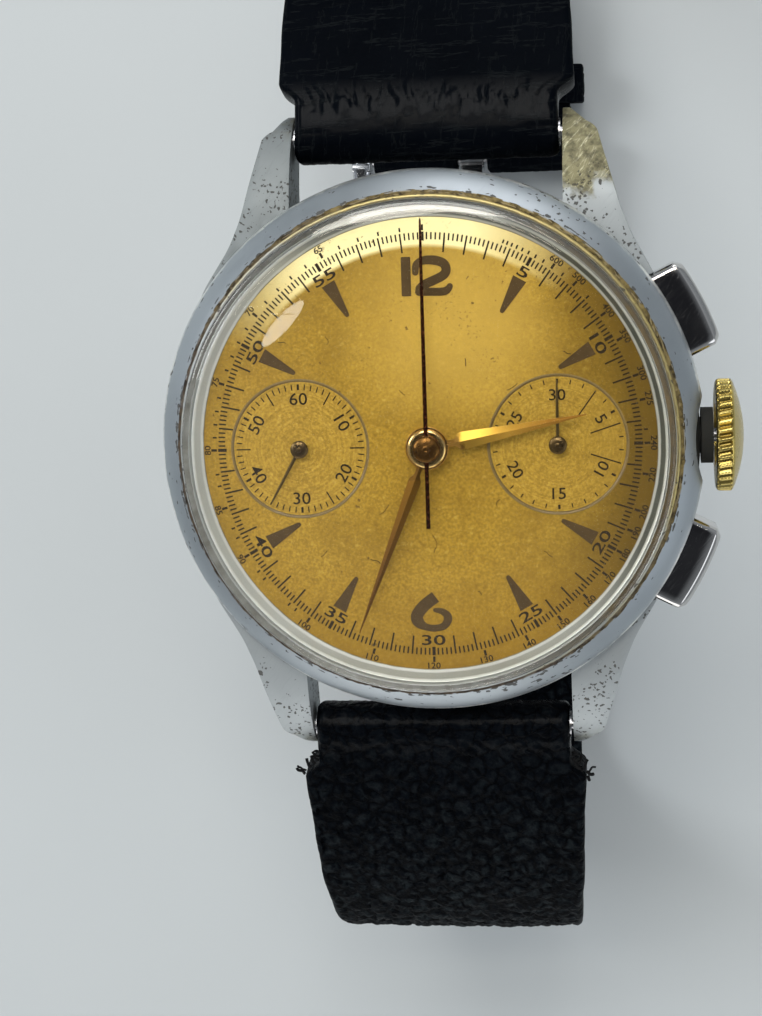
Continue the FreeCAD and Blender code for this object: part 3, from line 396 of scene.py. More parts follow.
def crown_mat():
    """gilding worn on the crests, dirt packed in the flutes"""
    t = NT("crown_gilt_worn")
    x, y, z = t.xyz()
    n1 = t.noise(700.0, 4.0, 0.6)
    dz_ = t.math("SUBTRACT", z, (Z0 + STEM_W) * MM)
    r = t.math("SQRT", t.math("ADD", t.math("MULTIPLY", y, y), t.math("MULTIPLY", dz_, dz_)))
    rr = t.math("ADD", t.math("MULTIPLY", r, 1000.0), t.math("MULTIPLY", t.math("SUBTRACT", n1, 0.5), 0.10))
    col = t.mix(n1, (0.44, 0.335, 0.085), (0.62, 0.49, 0.17))
    groove = t.math("MULTIPLY", t.ramp(t.math("SUBTRACT", rr, 3.0), [(0.40, 0.95), (0.66, 0.0)]), t.ramp(t.math("SUBTRACT", rr, 3.0), [(0.30, 0.0), (0.38, 1.0)]))
    groove = t.math("MULTIPLY", groove, t.math("LESS_THAN", x, 0.01972))
    col = t.mix(groove, col, (0.12, 0.075, 0.012))
    sp = pits(t, 3600.0, 0.26, 0.02, 0.52)
    col = t.mix(t.math("MULTIPLY", sp, 0.7), col, (0.12, 0.08, 0.02))
    t.principled(col, t.math("ADD", t.math("MULTIPLY", n1, 0.16), 0.20), 1.0, t.bump(n1, 0.3, 0.00002))
    return t.m


M_crown = crown_mat()


def hand_mat(name, inner, outer, rough):
    """gilding bright near the middle of the dial, worn and browned toward the tip"""
    t = NT(name)
    x, y, z = t.xyz()
    r = t.math("SQRT", t.math("ADD", t.math("MULTIPLY", x, x), t.math("MULTIPLY", y, y)))
    n = t.noise(900.0, 4.0, 0.6)
    rr_ = t.math("ADD", t.math("MULTIPLY", r, 100.0), t.math("MULTIPLY", t.math("SUBTRACT", n, 0.5), 0.35))
    m = t.ramp(rr_, [(0.36, 0.0), (0.86, 1.0)])
    col = t.mix(m, inner, outer)
    col = t.mix(t.ramp(rr_, [(0.205, 0.85), (0.245, 0.0)]), col, (0.13, 0.065, 0.016))
    sp = pits(t, 4200.0, 0.28, 0.05, 0.54)
    col = t.mix(t.math("MULTIPLY", sp, 0.6), col, (0.10, 0.05, 0.02))
    t.principled(col, t.math("ADD", t.math("MULTIPLY", n, 0.12), rough), 1.0, t.bump(n, 0.06, 0.00001))
    return t.m


M_gilt = hand_mat("hand_gilt", (0.42, 0.25, 0.040), (0.24, 0.115, 0.020), 0.24)
M_giltbrown = hand_mat("hand_gilt_brown", (0.215, 0.105, 0.018), (0.17, 0.078, 0.016), 0.26)
M_needle = metal_mat("needle_olive", (0.16, 0.11, 0.045), 0.34, bump=0.05)
M_hub = metal_mat("hub_gilt", (0.80, 0.55, 0.22), 0.16)
M_subhub = metal_mat("hub_olive", (0.13, 0.085, 0.036), 0.30, bump=0.05)
M_hubdark = metal_mat("needle_brown", (0.115, 0.036, 0.014), 0.26, bump=0.06)
M_cap = metal_mat("cap_brown", (0.135, 0.066, 0.018), 0.30, bump=0.08)
M_move = metal_mat("movement_gilt", (0.72, 0.58, 0.32), 0.3, "x")
M_wheel = metal_mat("wheel_brass_m", (0.78, 0.60, 0.28), 0.24)
def rehaut_mat():
    t = NT("inner_ring_silver")
    n = t.noise(600.0, 4.0, 0.55)
    x, y, z = t.xyz()
    r = t.math("MULTIPLY", t.math("SQRT", t.math("ADD", t.math("MULTIPLY", x, x), t.math("MULTIPLY", y, y))), 1000.0)
    rj = t.math("SUBTRACT", t.math("ADD", r, t.math("MULTIPLY", t.math("SUBTRACT", n, 0.5), 0.10)), 14.8)
    # painted reflection and shade: the ring is coloured by side, with a darker core and darker white toward the right,
    # a darker bluish top and a warmer bottom
    side = t.ramp(t.math("MULTIPLY", t.math("ADD", x, t.math("MULTIPLY", y, 0.25)), 50.0), [(0.10, 0.0), (0.60, 1.0)])
    white = t.mix(n, (0.50, 0.525, 0.51), (0.68, 0.70, 0.68))
    white = t.mix(t.math("MULTIPLY", side, 0.55), white, (0.28, 0.27, 0.21))
    core = t.mix(side, (0.40, 0.42, 0.40), (0.045, 0.05, 0.036))
    top_painted_reflection = t.math("MULTIPLY", t.ramp(t.math("MULTIPLY", y, 60.0), [(0.70, 0.0), (0.85, 1.0)]), 0.85)
    core = t.mix(top_painted_reflection, core, (0.06, 0.068, 0.078))
    bottom_painted_reflection = t.math("MULTIPLY", t.ramp(t.math("MULTIPLY", y, -60.0), [(0.70, 0.0), (0.85, 1.0)]), 0.6)
    white = t.mix(t.math("MULTIPLY", top_painted_reflection, 0.60), white, (0.27, 0.285, 0.29))
    white = t.mix(t.math("MULTIPLY", bottom_painted_reflection, 0.60), white, (0.33, 0.32, 0.26))
    core = t.mix(bottom_painted_reflection, core, (0.16, 0.155, 0.115))
    col = t.mix(t.ramp(rj, [(0.20, 0.0), (0.27, 0.95), (0.56, 0.95), (0.63, 0.0)]), white, core)
    # painted shade: a dark brown line at the ring's inner edge, next to the dial
    col = t.mix(t.ramp(rj, [(0.05, 1.0), (0.11, 0.0)]), col, (0.16, 0.13, 0.07))
    t.principled(col, t.math("ADD", t.math("MULTIPLY", n, 0.15), 0.30), 0.35, t.bump(n, 0.2, 0.00002))
    return t.m


M_rehaut = rehaut_mat()


def simple_mat(name, a, b, rough, scale, bump=0.2, dist=0.00002, **kw):
    t = NT(name)
    n1 = t.noise(scale, 4.0, 0.55)
    t.principled(t.mix(n1, a, b), t.math("ADD", t.math("MULTIPLY", n1, 0.2), rough - 0.1), 0.0, t.bump(n1, bump, dist), **kw)
    return t.m


M_gasket = simple_mat("gasket_rubber", (0.012, 0.012, 0.012), (0.03, 0.03, 0.03), 0.7, 900.0)
M_jewel = simple_mat("jewel_red", (0.30, 0.01, 0.04), (0.45, 0.03, 0.08), 0.15, 600.0)
M_ink = simple_mat("print_brown", (0.012, 0.007, 0.003), (0.034, 0.021, 0.008), 0.6, 2500.0, 0.1, Specular_IOR_Level=0.12)
M_mark = simple_mat("marker_olive", (0.042, 0.024, 0.007), (0.088, 0.053, 0.017), 0.6, 1500.0, 0.3, Specular_IOR_Level=0.15)
M_ringline = simple_mat("ring_line", (0.10, 0.065, 0.018), (0.20, 0.13, 0.04), 0.35, 900.0, 0.1)


def dial_mat():
    t = NT("dial_champagne_aged")
    x, y, z = t.xyz()
    big = t.noise(70.0, 4.0, 0.6)
    mid = t.noise(380.0, 5.0, 0.62)
    col = t.mix(t.ramp(big, [(0.36, 0.0), (0.66, 1.0)]), (0.66, 0.42, 0.068), (0.53, 0.325, 0.042))
    col = t.mix(t.ramp(mid, [(0.43, 0.0), (0.68, 0.50)]), col, (0.34, 0.20, 0.030))
    r = t.math("SQRT", t.math("ADD", t.math("MULTIPLY", x, x), t.math("MULTIPLY", y, y)))
    fine = t.noise(5200.0, 3.0, 0.6)
    col = t.mix(t.ramp(fine, [(0.40, 0.0), (0.60, 0.60)]), col, (0.30, 0.180, 0.028))
    frk = t.noise(2100.0, 4.0, 0.7)
    col = t.mix(t.ramp(frk, [(0.55, 0.0), (0.68, 0.55)]), col, (0.27, 0.155, 0.024))
    col = t.mix(t.ramp(frk, [(0.30, 0.45), (0.42, 0.0)]), col, (0.86, 0.60, 0.16))
    pat = t.noise(150.0, 5.0, 0.65, t.mapping(loc=(0.3, 0.1, 0.2)))
    col = t.mix(t.ramp(pat, [(0.48, 0.0), (0.68, 0.50)]), col, (0.34, 0.205, 0.032))
    rim = t.ramp(t.math("MULTIPLY", r, 1000 / 16.0), [(0.80, 0.0), (0.95, 0.45)])
    col = t.mix(rim, col, (0.36, 0.22, 0.035))
    # painted light and shade: paler above the middle, darker and browner toward the right edge and toward the bottom
    gx = t.math("SUBTRACT", x, 0.0015)
    gy = t.math("SUBTRACT", y, 0.0080)
    gd = t.math("SQRT", t.math("ADD", t.math("MULTIPLY", gx, gx), t.math("MULTIPLY", gy, gy)))
    gd = t.math("ADD", t.math("MULTIPLY", gd, 100.0), t.math("MULTIPLY", t.math("SUBTRACT", big, 0.5), 0.5))
    col = t.mix(t.ramp(gd, [(0.0, 0.62), (0.35, 0.50), (0.85, 0.0)]), col, (0.90, 0.60, 0.135))
    dk = t.ramp(t.math("ADD", t.math("MULTIPLY", x, 50.0), t.math("MULTIPLY", t.math("SUBTRACT", big, 0.5), 0.35)), [(0.36, 0.0), (0.66, 0.88)])
    col = t.mix(dk, col, (0.15, 0.088, 0.009))
    dkl = t.ramp(t.math("ADD", t.math("MULTIPLY", y, -60.0), t.math("MULTIPLY", t.math("SUBTRACT", big, 0.5), 0.35)), [(0.45, 0.0), (0.85, 0.50)])
    col = t.mix(dkl, col, (0.35, 0.185, 0.009))
    # painted highlight: a pale bright arc near the top edge of the dial, less metallic there
    up = t.math("DIVIDE", t.math("ADD", t.math("MULTIPLY", y, 0.985), t.math("MULTIPLY", x, -0.17)), t.math("MAXIMUM", r, 0.001))
    painted_top_highlight = t.math("MULTIPLY", t.ramp(t.math("SUBTRACT", t.math("MULTIPLY", r, 1000.0), 12.85), [(0.0, 0.0), (0.30, 1.0), (0.95, 1.0)]), t.ramp(up, [(0.62, 0.0), (0.80, 0.45), (0.93, 1.0)]))
    col = t.mix(t.math("MULTIPLY", painted_top_highlight, 0.92), col, (1.0, 0.87, 0.45))
    # specks of dirt and lifted lacquer
    sp = pits(t, 1500.0, 0.20, 0.004, 0.52)
    sp2 = pits(t, 4200.0, 0.26, 0.02, 0.50)
    sm = t.math("MAXIMUM", sp, t.math("MULTIPLY", sp2, 0.6))
    col = t.mix(t.math("MULTIPLY", sm, 0.75), col, (0.16, 0.09, 0.03))
    # hairline scuffs
    h = t.noise(1.0, 3.0, 0.5, t.mapping((900, 5200, 900), rot=(0, 0, 0.8)))
    col = t.mix(t.ramp(h, [(0.66, 0.0), (0.74, 0.22)]), col, (0.30, 0.18, 0.06))
    ro = t.math("ADD", t.math("MULTIPLY", mid, 0.18), 0.24)
    ro = t.mix(t.math("MULTIPLY", sm, 0.8), ro, 0.8)
    nb = t.bump(t.math("SUBTRACT", t.math("MULTIPLY", mid, 0.4), t.math("MULTIPLY", sm, 0.6)), 0.25, 0.00003)
    # the rest of the dial is tinted darker, leaving the painted highlight bright
    col = t.mix(t.math("SUBTRACT", 1.0, t.math("MULTIPLY", painted_top_highlight, 0.97)), col, (0.69, 0.675, 0.575), "MULTIPLY")
    t.principled(col, ro, t.math("SUBTRACT", 0.10, t.math("MULTIPLY", painted_top_highlight, 0.08)), nb, Specular_IOR_Level=0.15, Coat_Weight=0.03, Coat_Roughness=0.22)
    return t.m


M_dial = dial_mat()


def subdial_mat():
    t = NT("subdial_turned")
    n = t.noise(420.0, 4.0, 0.6)
    col = t.mix(n, (0.64, 0.41, 0.074), (0.50, 0.31, 0.044))
    fine = t.noise(5200.0, 3.0, 0.6)
    col = t.mix(t.ramp(fine, [(0.40, 0.0), (0.60, 0.60)]), col, (0.30, 0.180, 0.028))
    frk = t.noise(2100.0, 4.0, 0.7)
    col = t.mix(t.ramp(frk, [(0.55, 0.0), (0.68, 0.50)]), col, (0.27, 0.155, 0.024))
    col = t.mix(t.ramp(frk, [(0.30, 0.40), (0.42, 0.0)]), col, (0.84, 0.58, 0.15))
    x, y, z = t.xyz()
    # painted shade: darker toward the right
    col = t.mix(t.ramp(t.math("MULTIPLY", x, 50.0), [(0.40, 0.0), (0.70, 0.42)]), col, (0.20, 0.115, 0.012))
    # turned rings about each small dial's own centre
    sx_ = t.math("SUBTRACT", t.math("ABSOLUTE", x), 0.00845)
    rs = t.math("SQRT", t.math("ADD", t.math("MULTIPLY", sx_, sx_), t.math("MULTIPLY", y, y)))
    cv = t.n("CombineXYZ")
    t.link(rs, cv.inputs[0])
    rg = t.noise(6500.0, 2.0, 0.5, cv.outputs[0])
    col = t.mix(t.ramp(rg, [(0.42, 0.0), (0.58, 0.34)]), col, (0.27, 0.165, 0.026))
    sp = pits(t, 4200.0, 0.26, 0.011, 0.52)
    col = t.mix(t.math("MULTIPLY", sp, 0.5), col, (0.16, 0.09, 0.02))
    col = t.mix(1.0, col, (0.80, 0.79, 0.68), "MULTIPLY")
    t.principled(col, t.math("ADD", t.math("MULTIPLY", n, 0.16), 0.27), 0.12, t.bump(n, 0.10, 0.00002), Specular_IOR_Level=0.15)
    return t.m


M_sub = subdial_mat()


def crystal_mat():
    t = NT("crystal_acrylic")
    s1 = t.noise(1.0, 2.0, 0.5, t.mapping((7000, 160, 160), rot=(0, 0, 0.4)))
    s2 = t.noise(1.0, 2.0, 0.5, t.mapping((150, 6000, 150), rot=(0, 0, -0.6)))
    sc = t.math("ADD", t.ramp(s1, [(0.70, 0.0), (0.76, 1.0)]), t.ramp(s2, [(0.70, 0.0), (0.76, 1.0)]))
    ro = t.math("ADD", t.math("MULTIPLY", sc, 0.10), 0.022)
    nb = t.bump(sc, 0.10, 0.000006)
    p = t.principled((0.985, 0.985, 0.975), ro, 0.0, nb, IOR=1.49, Transmission_Weight=1.0, Specular_IOR_Level=0.28)
    tr = t.n("BsdfTransparent")
    tr.inputs[0].default_value = (0.95, 0.95, 0.94, 1)
    lp = t.n("LightPath")
    ms = t.n("MixShader")
    t.link(lp.outputs["Is Shadow Ray"], ms.inputs[0])
    t.link(p.outputs[0], ms.inputs[1])
    t.link(tr.outputs[0], ms.inputs[2])
    t.link(ms.outputs[0], t.out.inputs["Surface"])
    return t.m


M_crystal = crystal_mat()


def leather_mat(name, kind):
    t = NT(name)
    x, y, z = t.xyz()
    nz = t.n("TexNoise", Scale=900.0, Detail=3.0)
    t.link(t.co, nz.inputs["Vector"])
    sc = t.n("VectorMath", _operation="SCALE")
    t.link(nz.outputs["Color"], sc.inputs[0])
    sc.inputs["Scale"].default_value = 0.0010
    wp = t.n("VectorMath", _operation="ADD")
    t.link(t.co, wp.inputs[0])
    t.link(sc.outputs[0], wp.inputs[1])
    g = t.voro(850.0 if kind == "pebble" else 420.0, wp.outputs[0], feature="DISTANCE_TO_EDGE")
    gf = t.voro(3600.0, wp.outputs[0])
    g2 = t.noise(3400.0, 5.0, 0.65)
    big = t.noise(160.0, 4.0, 0.55)
    cells = t.ramp(g, [(0.0, 0.0), (0.16, 1.0)])
    dome = t.math("SUBTRACT", 1.0, t.voro(1350.0, wp.outputs[0]))
    col = t.mix(t.ramp(big, [(0.3, 0.0), (0.72, 1.0)]), (0.0007, 0.0013, 0.0026), (0.0018, 0.0028, 0.0048))
    if kind == "pebble":
        g3 = t.noise(1500.0, 5.0, 0.7)
        # painted highlight: the tops of the pebble domes are lightened, more strongly further from the case
        painted_dome_highlight = t.math("MULTIPLY", t.ramp(g, [(0.07, 0.0), (0.26, 1.0)]), t.ramp(g3, [(0.42, 0.0), (0.60, 1.0)]))
        painted_highlight_gain = t.ramp(t.math("MULTIPLY", y, -20.0), [(0.42, 0.22), (0.70, 1.0)])
        col = t.mix(t.math("MULTIPLY", painted_dome_highlight, painted_highlight_gain), col, (0.0140, 0.0185, 0.0210))
    else:
        col = t.mix(t.ramp(g2, [(0.40, 0.0), (0.75, 0.5)]), col, (0.0026, 0.0036, 0.0050))
    if kind == "pebble":
        col = t.mix(t.math("MULTIPLY", t.ramp(g, [(0.02, 1.0), (0.13, 0.0)]), 0.85), col, (0.0005, 0.0007, 0.0012))
    if kind == "crease":
        w1 = t.lines(0.05, 240.0, 2300.0, 3.0, 4.0)
        w2 = t.lines(1.47, 380.0, 2500.0, 7.0, 4.0)
        m1 = t.ramp(w1, [(0.565, 0.0), (0.60, 1.0), (0.635, 0.0)])
        m2 = t.ramp(w2, [(0.585, 0.0), (0.615, 0.8), (0.645, 0.0)])
        crease_lines_and_highlight = t.math("MAXIMUM", m1, m2)
        # painted highlight: the thin crease lines are lightened in colour; the same lines are pressed in by the bump
        # below
        col = t.mix(t.math("MULTIPLY", crease_lines_and_highlight, 0.75), col, (0.0105, 0.0125, 0.0140))
    ay = t.math("MULTIPLY", t.math("ABSOLUTE", y), 1000 / 50.0)
    if kind == "pebble":
        gl = t.math("MULTIPLY", t.ramp(ay, [(0.40, 0.8), (0.425, 1.0), (0.448, 0.0)]), t.math("GREATER_THAN", z, 0.03))
        h = t.math("ADD", t.math("MULTIPLY", dome, 1.3), t.math("MULTIPLY", g2, 0.7))
        h = t.math("ADD", h, t.math("MULTIPLY", cells, 0.3))
        base_ro, st = 0.36, 1.0
    else:
        gl = t.math("MULTIPLY", t.ramp(ay, [(0.41, 0.3), (0.43, 1.0), (0.455, 0.9), (0.48, 0.0)]), t.math("GREATER_THAN", z, 0.03))
        h = t.math("ADD", t.math("MULTIPLY", cells, 0.10), t.math("MULTIPLY", g2, 0.55))
        h = t.math("SUBTRACT", h, t.math("MULTIPLY", crease_lines_and_highlight, 1.2))
        base_ro, st = 0.42, 0.5
    h = t.math("ADD", h, t.math("MULTIPLY", gf, 0.25))
    ro = t.math("SUBTRACT", t.math("ADD", t.math("MULTIPLY", g2, 0.20), base_ro), t.math("MULTIPLY", gl, 0.28))
    # micro wrinkles running along the strap over the fold
    wr = t.noise(1.0, 4.0, 0.6, t.mapping((2600, 520, 520)))
    h = t.math("ADD", h, t.math("MULTIPLY", t.math("MULTIPLY", wr, gl), 0.9))
    nb = t.bump(h, st, 0.00011 if kind == "pebble" else 0.00006)
    t.principled(col, ro, 0.0, nb, Specular_IOR_Level=0.025 if kind == "pebble" else 0.012, Coat_Weight=t.math("MULTIPLY", gl, 0.05 if kind == "pebble" else 0.055), Coat_Roughness=0.14, Coat_IOR=1.45)
    return t.m


M_leath_p = leather_mat("leather_pebble", "pebble")
M_leath_c = leather_mat("leather_creased", "crease")
M_thread = simple_mat("thread_dark", (0.003, 0.003, 0.004), (0.012, 0.012, 0.012), 0.85, 4000.0, Specular_IOR_Level=0.1)

# ------------------------------------------------------------------ bezel
prof = [(16.10, 0.24), (16.10, 0.86)]
prof += arc(16.19, 0.88, 0.10, 170, 80, 5)
prof += arc(16.25, 0.86, 0.115, 88, 5, 6)
prof += [(16.368, 0.74), (16.372, 0.58), (16.385, 0.50), (16.42, 0.455), (16.49, 0.41)]
prof += [(16.64, 0.285), (16.82, 0.130), (17.02, -0.05), (17.22, -0.24), (17.42, -0.445), (17.60, -0.655), (17.75, -0.86), (17.87, -1.05), (17.95, -1.21), (18.005, -1.35), (18.02, -1.46), (17.985, -1.58), (17.9, -1.648)]
prof += [(16.58, -1.648), (16.58, 0.24)]
v, f = lathe(prof, 360)
bez = add_mesh("bezel_ring", v, f, M_bezel, "case", True, ("bezel",))
fix_normals(bez)
bm = bmesh.new()
bmesh.ops.create_uvsphere(bm, u_segments=64, v_segments=48, radius=4.3 * MM)
sm = bpy.data.meshes.new("cutter")
bmesh.ops.translate(bm, verts=bm.verts, vec=P(20.35, 0, STEM_W))
bm.to_mesh(sm)
bm.free()
cutter = bpy.data.objects.new("cutter", sm)
bpy.context.collection.objects.link(cutter)
md = bez.modifiers.new("scoop", "BOOLEAN")
md.operation = "DIFFERENCE"
md.solver = "EXACT"
md.object = cutter
bake(bez)
bpy.data.objects.remove(cutter)
for p in bez.data.polygons:
    p.use_smooth = True
bez.data.set_sharp_from_angle(angle=math.radians(38))
if not bez.data.materials:
    bez.data.materials.append(M_bezel)
bez.data.materials.append(M_rehaut)
for p in bez.data.polygons:
    if all(math.hypot(bez.data.vertices[i].co.x, bez.data.vertices[i].co.y) < 16.125 * MM for i in p.vertices):
        p.material_index = 1


def grime_mat():
    t = NT("seam_grime")
    x, y, z = t.xyz()
    n1 = t.noise(1400.0, 4.0, 0.65)
    n2 = t.noise(260.0, 3.0, 0.6)
    warm = t.math("ADD", t.math("MULTIPLY", t.math("ADD", x, y), 24.0), t.math("SUBTRACT", n2, 0.30), clamp=True)
    a_ = t.mix(warm, (0.105, 0.075, 0.048), (0.36, 0.27, 0.095))
    b_ = t.mix(warm, (0.020, 0.014, 0.009), (0.060, 0.042, 0.016))
    col = t.mix(t.ramp(n1, [(0.40, 0.0), (0.60, 1.0)]), b_, a_)
    t.principled(col, 0.62, t.math("MULTIPLY", warm, 0.5), t.bump(n1, 0.6, 0.00004), Specular_IOR_Level=0.2)
    return t.m


# dirt and bare metal along the seam between slope and lip
M_grime = grime_mat()


def seam_mod(r, w, a, j):
    k = 0.055 * noise.noise(Vector((math.cos(a) * 17 * 1.3, math.sin(a) * 17 * 1.3, j * 0.7))) + 0.045 * noise.noise(Vector((math.cos(a) * 17 * 4.5, math.sin(a) * 17 * 4.5, 3 + j * 0.7)))
    return r + (k if j > 0 else 0.0)


prof = [(16.25, 0.40), (16.375, 0.70), (16.382, 0.56), (16.40, 0.495), (16.44, 0.452), (16.50, 0.412), (16.57, 0.355), (16.63, 0.298), (16.66, 0.262), (16.52, 0.16)]
v, f = lathe(prof, 420, True, seam_mod)
sg_ = add_mesh("bezel_seam_grime", v, f, M_grime, "case", True, ())
fix_normals(sg_)
bm = bmesh.new()
bm.from_mesh(sg_.data)
kill = [q for q in bm.faces if (Vector((20.35 * MM, 0, (Z0 + STEM_W) * MM)) - q.calc_center_median()).length < 4.32 * MM]
bmesh.ops.delete(bm, geom=kill, context="FACES")
bm.to_mesh(sg_.data)
bm.free()


# ------------------------------------------------------------------ crystal and inner ring
def sph(r0, w0, wt, n):
    sag = wt - w0
    R = (r0 * r0 + sag * sag) / (2 * sag)
    zc = wt - R
    return [(r0 * (1 - i / n), zc + math.sqrt(R * R - (r0 * (1 - i / n)) ** 2)) for i in range(n + 1)]


prof = [(15.66, 0.01), (16.04, 0.01), (16.05, 0.5), (16.05, 1.2)] + arc(15.77, 1.84, 0.28, 0, 62, 6)
prof += sph(15.72, 2.125, 3.5, 40)[0:-1] + [(0.0, 3.5), (0.0, 2.6)]
prof += list(reversed(sph(15.55, 1.56, 2.6, 40)))[1:] + [(15.64, 1.50)]
v, f = lathe(prof, 192)
cry = add_mesh("crystal_dome", v, f, M_crystal, "case", True, ("crystal",))
merge_axis(cry)
cry.data.set_sharp_from_angle(angle=math.radians(50))

prof = [(14.84, 0.014)] + [(14.85 + 0.68 * i / 8, 0.03 + 0.79 * (i / 8) ** 1.1) for i in range(9)] + [(15.60, 0.85), (15.6, 0.014)]
v, f = lathe(prof, 256)
reh = add_mesh("inner_slope_ring", v, f, M_rehaut, "case", True, ("rehaut_ring",))
fix_normals(reh)
reh.data.set_sharp_from_angle(angle=math.radians(40))

# the seat of the crystal, seen through its rim
def seat_mat():
    t = NT("crystal_seat")
    x, y, z = t.xyz()
    n = t.noise(900.0, 4.0, 0.6)
    k = t.ramp(t.math("ADD", t.math("MULTIPLY", x, 40.0), t.math("MULTIPLY", t.math("SUBTRACT", n, 0.5), 0.6)), [(0.20, 0.0), (0.55, 1.0)])
    col = t.mix(k, (0.30, 0.305, 0.29), (0.19, 0.135, 0.062))
    col = t.mix(t.ramp(n, [(0.35, 0.5), (0.60, 0.0)]), col, (0.10, 0.085, 0.06))
    t.principled(col, 0.45, 0.5, t.bump(n, 0.3, 0.00002))
    return t.m


v, f = lathe([(15.61, 0.001), (15.61, 0.0075), (16.07, 0.0075), (16.07, 0.001)], 192)
seat = add_mesh("crystal_seat_ring", v, f, seat_mat(), "case", True, ())
fix_normals(seat)
seat.data.set_sharp_from_angle(angle=math.radians(40))

# ------------------------------------------------------------------ dial printing
ink_v, ink_f = [], []
mark_v, mark_f = [], []


def quad(V_, F_, pts, h0=0.0, h1=0.012):
    """flat printed polygon, a thin closed slab"""
    b = len(V_)
    n = len(pts)
    for x, y in pts:
        V_.append((x, y, h0 + 0.001))
    for x, y in pts:
        V_.append((x, y, h1))
    F_.append(tuple(range(b + n, b + 2 * n)))
    F_.append(tuple(reversed(range(b, b + n))))
    for i in range(n):
        j = (i + 1) % n
        F_.append((b + i, b + j, b + n + j, b + n + i))


def radial(V_, F_, az, r0, r1, w0, w1, cx=0.0, cy=0.0, h0=0.0, h1=0.012):
    """bar along clock angle az; w0 and w1 are its widths at r0 and r1"""
    a = math.radians(90 - az)
    ux, uy = math.cos(a), math.sin(a)
    px, py = -uy, ux
    pts = [(cx + ux * r0 + px * w0 / 2, cy + uy * r0 + py * w0 / 2), (cx + ux * r0 - px * w0 / 2, cy + uy * r0 - py * w0 / 2),
           (cx + ux * r1 - px * w1 / 2, cy + uy * r1 - py * w1 / 2), (cx + ux * r1 + px * w1 / 2, cy + uy * r1 + py * w1 / 2)]
    quad(V_, F_, pts, h0, h1)


def in_sub(x, y, m=0.0):
    return math.hypot(abs(x) - SUB_X, y) < 4.62 + m


for i in range(300):
    az = i * 1.2
    whole = i % 5 == 0
    five = i % 25 == 0
    r0 = 12.62 if whole and not five else 13.40
    if five:
        radial(ink_v, ink_f, az, 13.32, 13.90, 0.21, 0.21)
    else:
        if whole:
            a = math.radians(90 - az)
            while in_sub(r0 * math.cos(a), r0 * math.sin(a)) and r0 < 13.38:
                r0 += 0.05
        radial(ink_v, ink_f, az, r0, 13.86, 0.110 if whole else 0.100, 0.110 if whole else 0.100)
for hnum in (1, 2, 4, 5, 7, 8, 10, 11):
    az = hnum * 30
    a = math.radians(90 - az)
    ux, uy = math.cos(a), math.sin(a)
    px, py = -uy, ux
    pts = []
    for r, w in ((12.38, 0.96), (10.02, 0.30), (9.92, 0.20), (9.90, 0.10)):
        pts.append((r, w))
    ring_ = [(ux * r + px * w / 2, uy * r + py * w / 2) for r, w in pts] + [(ux * r - px * w / 2, uy * r - py * w / 2) for r, w in reversed(pts)]
    quad(mark_v, mark_f, ring_, 0.0, 0.03)

TACHY = [60, 65, 70, 75, 80, 85, 90, 100, 110, 120, 130, 140, 150, 160, 170, 180, 190, 200, 220, 240, 275, 300, 350, 400, 500, 600]
lab = set(TACHY)
seen = set()
for N in list(range(60, 100, 1)) + list(range(100, 200, 2)) + list(range(200, 300, 5)) + list(range(300, 1001, 25)):
    az = 3600.0 / N * 6.0
    if az > 359.5:
        az = 0.0
    major = N in lab
    minor = (60 < N < 100 and N % 5 != 0 and N % 1 == 0 and N % 1 == 0 and (N % 5 in (0, 2, 3) or N < 80)) or (100 < N < 200 and N % 5 == 0) or (200 < N and N % 50 == 0)
    if major:
        radial(ink_v, ink_f, az, 13.98, 14.36, 0.16, 0.16)
    elif minor:
        radial(ink_v, ink_f, az, 13.98, 14.24, 0.11, 0.11)


def stroke(V_, F_, path, width, h0, h1, cx, cy, rot=0.0, ends=(True, True)):
    """printed stroke along a path as one strip, with round ends"""
    n = len(path)
    rows = []
    for i, (x, y) in enumerate(path):
        a = path[max(i - 1, 0)]
        b = path[min(i + 1, n - 1)]
        dx, dy = b[0] - a[0], b[1] - a[1]
        k = math.hypot(dx, dy) or 1
        rows.append(((x, y), (-dy / k, dx / k), (dx / k, dy / k)))
    wf = width if callable(width) else (lambda t: width)
    full = []
    if ends[0]:
        hw_ = wf(0.0) / 2
        for q in (80, 60, 40, 20):
            (x, y), nn, tt = rows[0]
            c_, s_ = math.cos(math.radians(q)), math.sin(math.radians(q))
            full.append(((x - tt[0] * hw_ * s_, y - tt[1] * hw_ * s_), nn, hw_ * c_))
    for i, (p, nn, tt) in enumerate(rows):
        full.append((p, nn, wf(i / (n - 1)) / 2))
    if ends[1]:
        hw_ = wf(1.0) / 2
        for q in (20, 40, 60, 80):
            (x, y), nn, tt = rows[-1]
            c_, s_ = math.cos(math.radians(q)), math.sin(math.radians(q))
            full.append(((x + tt[0] * hw_ * s_, y + tt[1] * hw_ * s_), nn, hw_ * c_))
    cr, sr = math.cos(rot), math.sin(rot)
    b = len(V_)
    for (x, y), nn, w_ in full:
        for sgn in (1, -1):
            px, py = x + nn[0] * w_ * sgn, y + nn[1] * w_ * sgn
            X, Y = cx + px * cr - py * sr, cy + px * sr + py * cr
            V_.append((X, Y, h0 + 0.001))
            V_.append((X, Y, h1))
    m = len(full)
    for i in range(m - 1):
        q = b + i * 4
        r = q + 4
        F_.append((q + 1, r + 1, r + 3, q + 3))
        F_.append((q, q + 2, r + 2, r))
        F_.append((q, r, r + 1, q + 1))
        F_.append((q + 2, q + 3, r + 3, r + 2))
    F_.append((b, b + 1, b + 3, b + 2))
    q = b + (m - 1) * 4
    F_.append((q, q + 2, q + 3, q + 1))


